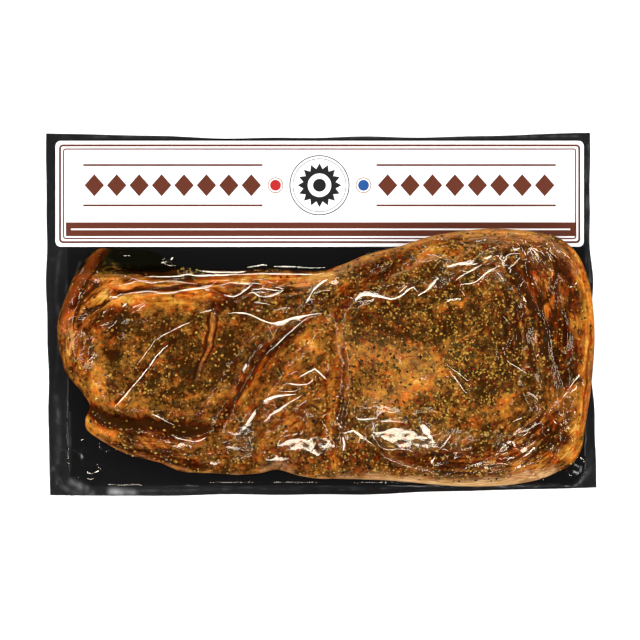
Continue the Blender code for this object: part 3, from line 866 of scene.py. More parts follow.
TINT_WANDER = (7.0, 1.6)
TINT_GAIN = 0.95
EDGE_GAP_LIMIT = 44.0
# Painted shade in the hollows and painted light on the crests of the meat.
PAINTED_CAVITY_SHADE_BLUR_PASSES = 8
PAINTED_CAVITY_SHADE_GAIN = 1.5
SEASONING_CLUMPS = 11.0
STRAND_WAYS = (0, 45, 90, 135)
STRAND_STRETCH = (0.12, 1.0, 1.0)
STRAND_GAIN = 2.2
STRAND_EVENNESS = 0.6
ROLLED_RIM_WIDTH = 4.0
POOL_RIM_DARK = 0.5
# The dark marinade reaches past the pool, as a strip along the upper edge.
MURK_RIGHT_EDGE = -68.0
UPPER_EDGE_STRIP = ((-76.0, 25.2), (-50.0, 24.7), (-20.0, 25.0), (-4.0, 24.7), (3.0, 25.3))
UPPER_EDGE_STRIP_WIDTH = 1.9
# Where the meat shows redder through the marinade: centre, reach and how much.
RED_MIDDLE = ((-20.0, -52.0), (34.0, 38.0), 0.4)
FURROW_LINE = 0.12
FURROW_DARK = 0.75
FLECK_SHARE = 0.4
THIN_END_SEASONING = 0.33
RIGHT_END_BARE = 0.45

ROAST_LOOP = smooth_curve(ROAST_OUTLINE, OUTLINE_STEPS)
CLOSED_LOOP = np.vstack([ROAST_LOOP, ROAST_LOOP[:1]])


def outline_at(turn):
    """The outline point that each ray from the roast's spine meets."""
    direction = np.column_stack([np.cos(turn), np.sin(turn)])
    start = np.array(ROAST_CENTRE) + np.column_stack([SPINE_HALF_LENGTH * np.cos(turn), np.zeros(len(turn))])
    best = np.full(len(turn), np.inf)
    for a, b in zip(ROAST_LOOP, np.roll(ROAST_LOOP, -1, axis=0)):
        edge = b - a
        cross = direction[:, 0] * edge[1] - direction[:, 1] * edge[0]
        offset = a - start
        reach = (offset[:, 0] * edge[1] - offset[:, 1] * edge[0]) / cross
        share = (offset[:, 0] * direction[:, 1] - offset[:, 1] * direction[:, 0]) / cross
        hit = (reach > 0) & (share >= -1e-9) & (share <= 1 + 1e-9)
        best = np.where(hit & (reach < best), reach, best)
    return start + direction * best[:, None]


def roast_plan(square):
    """Maps the square -1..1 onto the roast's outline. Gives the plan points and the turn of their rays."""
    u, v = square[:, 0], square[:, 1]
    disc = np.column_stack([u * np.sqrt(1 - v**2 / 2), v * np.sqrt(1 - u**2 / 2)])
    radius = np.clip(np.linalg.norm(disc, axis=1), 0.0, 1.0)
    turn = np.arctan2(disc[:, 1], disc[:, 0])
    ellipse = np.array(ELLIPSE_RADII)
    rim = np.array(ROAST_CENTRE) + ellipse * np.column_stack([np.cos(turn), np.sin(turn)])
    inside = np.array(ROAST_CENTRE) + ellipse * disc
    return inside + (radius**OUTLINE_BLEND_POWER)[:, None] * (outline_at(turn) - rim), turn


def lobe_height(plan):
    """Height of the muscle without its edge: a smooth maximum of its lobes, with the pool's shelf."""
    total = np.zeros(len(plan))
    for centre, reach, height in ROAST_LOBES:
        total += np.exp(LOBE_BLEND * height * (1.0 - LOBE_FALL * spread_from(plan, centre, reach)))
    muscle = np.log(total + 1.0) / LOBE_BLEND
    above = smooth_step((plan[:, 1] - POOL_LOWER_EDGE) / POOL_BANK_WIDTH)
    pool = above * smooth_step((POOL_RIGHT_EDGE - plan[:, 0]) / POOL_BANK_WIDTH + 0.5)
    return muscle + (POOL_HEIGHT - muscle) * pool, pool


def fold_height(plan):
    """What the large folds and creases add."""
    added = np.zeros(len(plan))
    for line, height, half_width in ROAST_FOLDS:
        close, gap, along = near_line(plan, line, 3 * half_width)
        taper = np.clip(np.minimum(along, 1 - along) / FOLD_TAPER_SHARE, 0.0, 1.0)
        strength = height * (FOLD_END_SHARE + (1.0 - FOLD_END_SHARE) * taper)
        added[close] += strength * np.exp(-((gap / half_width) ** 2))
    return added


def tints_and_shade_at(plan):
    """How orange, dark and tan the meat is at each plan point; the dark share holds painted shade too."""
    orange, dark, tan = (np.zeros(len(plan)) for _ in range(3))
    size, reach = TINT_WANDER
    wander = np.column_stack([soft_noise(plan, size, 51), soft_noise(plan, size, 52)]) * reach
    for line, half_width, more_orange, darker, tanner in TINT_AND_SHADE_LINES:
        width = TINT_SPREAD * half_width
        close, gap, _along = near_line(plan + wander, smooth_curve(line, 4, closed=False), 2.5 * width)
        near = np.exp(-((gap / width) ** 2))
        orange[close] += TINT_GAIN * more_orange * near
        dark[close] = np.maximum(dark[close] + min(darker, 0.0) * near, darker * near)
        tan[close] = np.maximum(tan[close], tanner * near)
    return orange, np.maximum(dark, 0.0), tan


def edge_gap(plan):
    """How far each plan point lies inside the roast's outline, up to EDGE_GAP_LIMIT."""
    gaps = np.full(len(plan), EDGE_GAP_LIMIT)
    for a, b in zip(CLOSED_LOOP[:-1], CLOSED_LOOP[1:]):
        close, gap, _along = near_line(plan, (a, b), EDGE_GAP_LIMIT)
        gaps[close] = np.minimum(gaps[close], gap)
    return gaps


def gathered(plan):
    """Depth of the gathered folds: sharp furrows between round swells."""
    depth = np.zeros(len(plan))
    for number, (centre, reach, turn, pitch, length, furrow, _pleats) in enumerate(GATHERS):
        offset = plan - np.array(centre)
        angle = math.radians(turn)
        along = np.array([math.cos(angle), math.sin(angle)])
        across = np.array([-along[1], along[0]])
        spread = np.column_stack([offset @ along / length, offset @ across / pitch])
        window = np.exp(-spread_from(plan, centre, reach))
        depth = np.maximum(depth, furrow * window * crease_noise(spread, 1.0, 200 + number))
    return depth


def strand_share(plan, way):
    """How much the meat is drawn into strands that run a certain way, 0 to 1."""
    share = np.zeros(len(plan))
    for centre, reach, turn, _pitch, _length, furrow, _pleats in GATHERS:
        window = np.exp(-spread_from(plan, centre, reach))
        aligned = max(math.cos(2 * math.radians(turn - way)), 0.0)
        share = np.maximum(share, min(furrow, 1.0) * window * aligned)
    return share


def rolled_rim(plan):
    """1 on the rolled rim at the left, 0 off it."""
    close, gap, _along = near_line(plan, ROLLED_RIM, 2 * ROLLED_RIM_WIDTH)
    rolled = np.zeros(len(plan))
    rolled[close] = smooth_step((ROLLED_RIM_WIDTH - gap) / 1.5)
    return rolled


def seasoning_share(plan):
    """The thick end carries the most seasoning, the thin end the least, and it has slid off the right end."""
    share = THIN_END_SEASONING + (1.0 - THIN_END_SEASONING) * smooth_step((plan[:, 0] + 55.0) / 90.0)
    return share * (1.0 - RIGHT_END_BARE * smooth_step((plan[:, 0] - 100.0) / 20.0))


def roast_surface(plan):
    """Height of the roast's top over its foot and of its widest line, without the film."""
    body, pool = lobe_height(plan)
    widest = WIDEST_SHARE * body
    inward = np.clip(edge_gap(plan) / (SHOULDER_SHARE * body), 0.0, 1.0)
    shoulder = np.sqrt(1.0 - (1.0 - inward) ** SHOULDER_ROUNDNESS)
    _orange, dark, _tan = tints_and_shade_at(plan)
    relief = -GROOVE_DEPTH * dark - gathered(plan)
    for seed, (height, size) in enumerate(MEAT_GRAIN):
        relief += height * soft_noise(plan, size, 60 + seed)
    relief *= 1.0 - 0.8 * pool
    top = widest + (body - widest + fold_height(plan) + relief) * shoulder - FILM_ALLOWANCE * inward
    return top, widest - FILM_ALLOWANCE * 0.5


def add_roast_grid(name):
    """A grid for the roast's top and side: plan points, turn of their rays, and 0 on top to 1 at the foot."""
    cells = tuple(count + 2 * ROAST_SIDE_RINGS for count in ROAST_CELLS)
    grid, square = add_grid(name, cells)
    spread = square[:, :2] * np.array(cells) / np.array(ROAST_CELLS)
    beyond = np.maximum(np.abs(spread) - 1.0, 0.0) * np.array(ROAST_CELLS) / 2
    down = np.clip(beyond.max(axis=1) / ROAST_SIDE_RINGS, 0.0, 1.0)
    plan, turn = roast_plan(crowd_to_edge(np.clip(spread, -1.0, 1.0), ROAST_CROWDING))
    return grid, plan, turn, down, (cells[1] + 1, cells[0] + 1)


def blurred(field, passes):
    """A grid of numbers, each averaged with its neighbours a few times over."""
    for _ in range(passes):
        padded = np.pad(field, 1, mode="edge")
        field = (padded[1:-1, 1:-1] * 2 + padded[:-2, 1:-1] + padded[2:, 1:-1]
                 + padded[1:-1, :-2] + padded[1:-1, 2:]) / 6
    return field


def weld_side(obj):
    """Merges the corner cells of a grid's side, whose vertices lie on each other."""
    bpy.ops.object.mode_set(mode="EDIT")
    bpy.ops.mesh.select_all(action="SELECT")
    bpy.ops.mesh.remove_doubles(threshold=0.00001)
    bpy.ops.object.mode_set(mode="OBJECT")


meat, plan, turn, down, shape = add_roast_grid("marinated_meat")
top, widest = roast_surface(plan)
outwards = np.column_stack([np.cos(turn), np.sin(turn)])
inset = UNDERCUT_SHARE * widest * down**UNDERCUT_ROUNDNESS
side = down > 0
place = np.column_stack([plan - outwards * inset[:, None], FOOT + np.where(side, widest * (1 - down), top)])
place_vertices(meat, place)
# The tints fade down the side, the tan ones soonest and unevenly.
fade = 1.0 - smooth_step(2.5 * down)
tan_fade = 1.0 - smooth_step(5.0 * down + 0.35 * soft_noise(plan, 9.0, 71) * np.minimum(8.0 * down, 1.0))
lasting = (0.4 + 0.6 * fade, fade, tan_fade)
orange, dark, tan = (share * left for share, left in zip(tints_and_shade_at(plan), lasting))
# Painted shade darkens the hollows and painted light makes the crests more orange, except on the pool and
# close to the edge.
gaps = edge_gap(plan)
hollow_shade_and_crest_light = (blurred(top.reshape(shape), PAINTED_CAVITY_SHADE_BLUR_PASSES).ravel() - top) * PAINTED_CAVITY_SHADE_GAIN
_body, pool = lobe_height(plan)
hollow_shade_and_crest_light *= (1.0 - pool) * smooth_step(gaps / 5.0)
rolled = rolled_rim(plan)
orange -= POOL_RIM_DARK * pool * (1.0 - rolled) * smooth_step(1.0 - gaps / 6.0)
clumps = 0.5 + 0.5 * soft_noise(plan, SEASONING_CLUMPS, 70)
bare = np.clip(orange * 1.3, 0.0, 0.9)
add_attribute(meat, "orange", BASE_ORANGE + orange - 0.25 * np.clip(hollow_shade_and_crest_light, -0.8, 0.0))
add_attribute(meat, "dark", np.clip(dark + np.clip(hollow_shade_and_crest_light, 0.0, 0.8), 0.0, 1.0))
add_attribute(meat, "tan", np.clip(tan, 0.0, 1.0))
centre, reach, share = RED_MIDDLE
add_attribute(meat, "redder", np.maximum(rolled, share * np.exp(-spread_from(plan, centre, reach))))
close, gap, _along = near_line(plan, UPPER_EDGE_STRIP, UPPER_EDGE_STRIP_WIDTH + 1.1)
murky = smooth_step((plan[:, 1] - POOL_LOWER_EDGE) / 3.5 - 0.3)
murky *= smooth_step((MURK_RIGHT_EDGE - plan[:, 0]) / 6.0)
murky[close] = np.maximum(murky[close], smooth_step((UPPER_EDGE_STRIP_WIDTH - gap) / 0.8))
add_attribute(meat, "pool", murky * (1.0 - rolled))
flecked = FLECK_SHARE * seasoning_share(plan) * clumps * (1.0 - bare) * (1.0 - np.clip(tan, 0.0, 1.0))
add_attribute(meat, "seasoned", flecked)
shares = [strand_share(plan, way) * (1.0 - rolled) for way in STRAND_WAYS]
for way, share in zip(STRAND_WAYS, shares):
    add_attribute(meat, "strands at %d" % way, share)
strongest = np.maximum(np.max(shares, axis=0), 1.3 * rolled)
add_attribute(meat, "even", 1.0 - STRAND_EVENNESS * np.clip(strongest, 0.0, 1.3))
weld_side(meat)
bpy.ops.object.mode_set(mode="EDIT")
bpy.ops.mesh.select_all(action="DESELECT")
bpy.ops.mesh.select_non_manifold()
bpy.ops.mesh.edge_face_add()
bpy.ops.object.mode_set(mode="OBJECT")
meat.data.shade_smooth()

flesh, shader = new_material("beef in marinade")


def stretched(material, place):
    """Places drawn out along X, so that a pattern on them runs in strands."""
    sockets = {0: place, 1: STRAND_STRETCH}
    return add_node(material, "ShaderNodeVectorMath", sockets, operation="MULTIPLY").outputs[0]


def ramp_node(material, factor, stops):
    """A colour ramp with these stops, read at a factor."""
    node = add_node(material, "ShaderNodeValToRGB", {"Fac": factor})
    while len(node.color_ramp.elements) < len(stops):
        node.color_ramp.elements.new(0.5)
    for element, (position, colour) in zip(node.color_ramp.elements, stops):
        element.position = position
        element.color = (*colour, 1.0)
    return node.outputs["Color"]


MARINADE = (
    (0.0, (0.035, 0.012, 0.0015)),
    (0.14, (0.078, 0.029, 0.0045)),
    (0.3, (0.165, 0.063, 0.01)),
    (0.46, (0.27, 0.1, 0.015)),
    (0.66, (0.43, 0.16, 0.017)),
    (0.86, (0.55, 0.24, 0.03)),
    (1.0, (0.64, 0.35, 0.07)),
)
# Patches that are greener or redder than the rest, as a factor of the marinade's colour.
HERB_AND_CHILLI = ((0.36, (0.84, 0.98, 0.9)), (0.5, (1.0, 1.0, 1.0)), (0.62, (1.1, 0.72, 0.6)))
FLECKS = (
    (0.0, (0.03, 0.022, 0.004)),
    (0.3, (0.07, 0.045, 0.008)),
    (0.37, (0.2, 0.02, 0.007)),
    (0.42, (0.2, 0.02, 0.007)),
    (0.48, (0.26, 0.13, 0.018)),
    (0.8, (0.4, 0.23, 0.045)),
    (1.0, (0.5, 0.36, 0.13)),
)
# Scale of the pattern and size of the fleck in its cells, for coarse and fine flecks of seasoning.
FLECK_CELLS = ((430.0, 0.3), (700.0, 0.36))
FLECK_BLUR = 0.12
RIM_TAN = ((0.35, (0.36, 0.2, 0.07)), (0.5, (0.48, 0.28, 0.11)), (0.65, (0.7, 0.48, 0.27)))
ROLLED_RIM_TINT = (0.76, 0.46, 0.52, 1.0)
MURK = (
    (0.35, (0.004, 0.004, 0.002)),
    (0.55, (0.02, 0.015, 0.004)),
    (0.7, (0.1, 0.06, 0.01)),
    (0.8, (0.3, 0.17, 0.03)),
)
SHADED_TINT = (0.5, 0.2, 0.12, 1.0)
DEEPEST = (0.03, 0.009, 0.0016, 1.0)
MARINADE_NOISES = (
    # size of the pattern per metre, share of the swing from dark to light
    (70.0, 1.1), (190.0, 1.4), (480.0, 1.1), (1100.0, 0.8),
)
spot = object_place(flesh)
orange, dark, tan, pool, seasoned, even, redder = (
    read_attribute(flesh, name) for name in ("orange", "dark", "tan", "pool", "seasoned", "even", "redder")
)
level = orange
for way in STRAND_WAYS:
    sockets = {"Vector": spot, "Angle": -math.radians(way)}
    turned = add_node(flesh, "ShaderNodeVectorRotate", sockets).outputs[0]
    strand = noise_node(flesh, stretched(flesh, turned), 420.0, 2.5)
    lighter = math_node(flesh, "MULTIPLY_ADD", strand, STRAND_GAIN, -STRAND_GAIN / 2)
    amount = read_attribute(flesh, "strands at %d" % way)
    level = math_node(flesh, "MULTIPLY_ADD", lighter, amount, level)
    line = range_node(flesh, math_node(flesh, "ABSOLUTE", lighter), 1.0, 0.0, 0.0, FURROW_LINE)
    dark = math_node(flesh, "MULTIPLY_ADD", math_node(flesh, "MULTIPLY", line, amount), FURROW_DARK, dark)
mottled = -sum(gain for _scale, gain in MARINADE_NOISES) / 2
for scale, gain in MARINADE_NOISES:
    grain = noise_node(flesh, spot, scale, 3.0, 0.6)
    mottled = math_node(flesh, "MULTIPLY_ADD", grain, gain, mottled)
level = math_node(flesh, "MULTIPLY_ADD", mottled, even, level)
patches = ramp_node(flesh, noise_node(flesh, spot, 170.0, 3.0), HERB_AND_CHILLI)
base = mix_colour(flesh, 1.0, ramp_node(flesh, level, MARINADE), patches, "MULTIPLY")
for cells, size in FLECK_CELLS:
    cell = add_node(flesh, "ShaderNodeTexVoronoi", {"Vector": spot, "Scale": cells})
    draw = add_node(flesh, "ShaderNodeSeparateColor", {0: cell.outputs["Color"]})
    inside = range_node(flesh, cell.outputs["Distance"], 0.0, 1.0, size, size - FLECK_BLUR)
    picked = math_node(flesh, "LESS_THAN", draw.outputs[0], seasoned)
    amount = math_node(flesh, "MULTIPLY", inside, picked)
    base = mix_colour(flesh, amount, base, ramp_node(flesh, draw.outputs[1], FLECKS))
rim_tan = ramp_node(flesh, noise_node(flesh, stretched(flesh, spot), 900.0, 3.0), RIM_TAN)
tanned = mix_colour(flesh, tan, base, rim_tan)
rim_red = mix_colour(flesh, redder, tanned, ROLLED_RIM_TINT, "MULTIPLY")
murk = math_node(flesh, "MULTIPLY_ADD", orange, 0.5, noise_node(flesh, spot, 300.0, 4.0))
pooled = mix_colour(flesh, pool, rim_red, ramp_node(flesh, murk, MURK))
# Darker where the dark attribute says: the marinade's own dark streaks together with painted shade in
# creases, hollows and under the overhang, first red-brown, then nearly black.
shaded, deepest = (
    math_node(flesh, "MULTIPLY_ADD", dark, 2.0, offset, use_clamp=True) for offset in (0.0, -1.0)
)
reddened_dark_and_shade = mix_colour(flesh, shaded, pooled, SHADED_TINT, "MULTIPLY")
deep = mix_colour(flesh, deepest, reddened_dark_and_shade, DEEPEST)
ripple = bump_node(flesh, grain, 0.5, 0.0005)
feed(flesh, shader, Base_Color=deep, Normal=ripple)
set_finish(shader, 0.42, 0.0)
meat.data.materials.append(flesh)
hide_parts("sealed_roast")
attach(meat, "root")


# Seasoning: cracked black pepper, yellow mustard seed, red chilli flakes and dried green herbs, pressed into
# the marinade under the film. Each kind is one piece of small faceted grains.
SEASONING = (
    # name, count, size range, flatness, sunk share, colours, how it favours orange parts, seed
    ("black_pepper", 900, (0.45, 1.35), 0.55, 0.45, ((0.006, 0.005, 0.003), (0.04, 0.022, 0.008)), 0.25, 71),
    ("mustard_seed", 3300, (0.3, 0.98), 0.6, 0.35, ((0.52, 0.33, 0.065), (0.3, 0.15, 0.02)), -0.35, 72),
    ("chilli_flakes", 520, (0.35, 1.1), 0.4, 0.35, ((0.24, 0.018, 0.009), (0.13, 0.011, 0.005)), 0.1, 73),
    ("dried_herbs", 1800, (0.4, 1.5), 0.3, 0.3, ((0.02, 0.017, 0.005), (0.08, 0.05, 0.011)), -0.1, 74),
)
SLOPE_STEP = 0.4
# Most grains are small. A grain is longer or shorter, narrower and more or less knobbly than a ball.
GRAIN_SIZE_BIAS = (1.6, 3.4)
GRAIN_LENGTHS = (0.75, 1.6)
GRAIN_WIDTHS = (0.6, 1.05)
GRAIN_KNOBS = (0.66, 1.24)


def surface_normal(plan, top):
    """The roast's upward normals at plan points, from its slope."""
    slopes = [
        (roast_surface(plan + np.array(step) * SLOPE_STEP)[0] - top) / SLOPE_STEP for step in ((1, 0), (0, 1))
    ]
    normal = np.column_stack([-slopes[0], -slopes[1], np.ones(len(plan))])
    return normal / np.linalg.norm(normal, axis=1)[:, None]


def scatter_plan(count, favour, draw):
    """Random plan points on the roast, thicker where the seasoning lies in clumps."""
    inside = np.empty((0, 2))
    while len(inside) < count:
        tries = draw.uniform(-1.0, 1.0, (count * 3, 2))
        plan, _turn = roast_plan(tries * 0.985)
        orange, dark, tan = tints_and_shade_at(plan)
        odds = 0.5 + 0.5 * soft_noise(plan, SEASONING_CLUMPS, int(draw.integers(1000))) + favour * orange
        _body, pool = lobe_height(plan)
        share = seasoning_share(plan) * (1.0 - np.clip(orange * 1.5, 0.0, 0.93))
        odds *= share * (1.0 - tan) * (1.0 - 0.7 * dark)
        odds *= (1.0 - smooth_step(2.5 * pool)) * (1.0 - 0.9 * rolled_rim(plan))
        inside = np.vstack([inside, plan[draw.uniform(0.0, 1.0, len(plan)) < odds]])
    return inside[:count]


for name, count, sizes, flatness, sunk, colours, favour, seed in SEASONING:
    draw = np.random.default_rng(seed)
    spots = scatter_plan(count, favour, draw)
    top, _widest = roast_surface(spots)
    normal = surface_normal(spots, top)
    bpy.ops.mesh.primitive_ico_sphere_add(subdivisions=1, radius=1.0)
    grain = bpy.context.object
    body = read_vertices(grain)
    faces = np.array([face.vertices[:] for face in grain.data.polygons])
    bpy.data.objects.remove(grain)
    size = sizes[0] + (sizes[1] - sizes[0]) * draw.beta(*GRAIN_SIZE_BIAS, count)
    length = draw.uniform(*GRAIN_LENGTHS, count)
    width = draw.uniform(*GRAIN_WIDTHS, count)
    stretch = np.column_stack([length, width, np.full(count, flatness)])
    knobs = draw.uniform(*GRAIN_KNOBS, (count, len(body), 1))
    shapes = body[None] * knobs * (stretch * size[:, None])[:, None, :]
    spin = draw.uniform(0.0, 2 * math.pi, count)
    along = np.column_stack([np.cos(spin), np.sin(spin), np.zeros(count)])
    along -= normal * np.sum(along * normal, axis=1)[:, None]
    along /= np.linalg.norm(along, axis=1)[:, None]
    across = np.cross(normal, along)
    turned = (shapes[:, :, :1] * along[:, None] + shapes[:, :, 1:2] * across[:, None]
              + shapes[:, :, 2:] * normal[:, None])
    lift = size * flatness * (1.0 - 2.0 * sunk)
    centres = np.column_stack([spots, FOOT + top]) + normal * lift[:, None]
    points = (turned + centres[:, None]).reshape(-1, 3)
    corners = (faces[None] + (np.arange(count) * len(body))[:, None, None]).reshape(-1, 3)
    spice, shader = new_material(name)
    first, second = ((*colour, 1.0) for colour in colours)
    feed(spice, shader, Base_Color=mix_colour(spice, read_attribute(spice, "shade"), first, second))
    set_finish(shader, 0.5, 0.02)
    piece = new_piece(name, points, corners.tolist(), spice)
    add_attribute(piece, "shade", np.repeat(draw.uniform(0.0, 1.0, count), len(body)))
    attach(piece, "root")


# Clear film: the formed upper film, sucked down over the roast. It bridges the creases, stands in small
# pleats and runs down the side to the black web, where it is sealed.
FILM_GAP = 0.45
BRIDGE_PASSES = 28
FILM_POOL_HOLD = 0.85
FILM_SIDE_START = 0.3
FILM_SIDE_REACH = 0.05
PLEAT = (0.35, 5.5)
FILM_WRINKLES = (
    # height, size across, whether it is a sharp crease
    (0.6, 17.0, True), (0.2, 8.0, True), (0.055, 2.6, False),
)
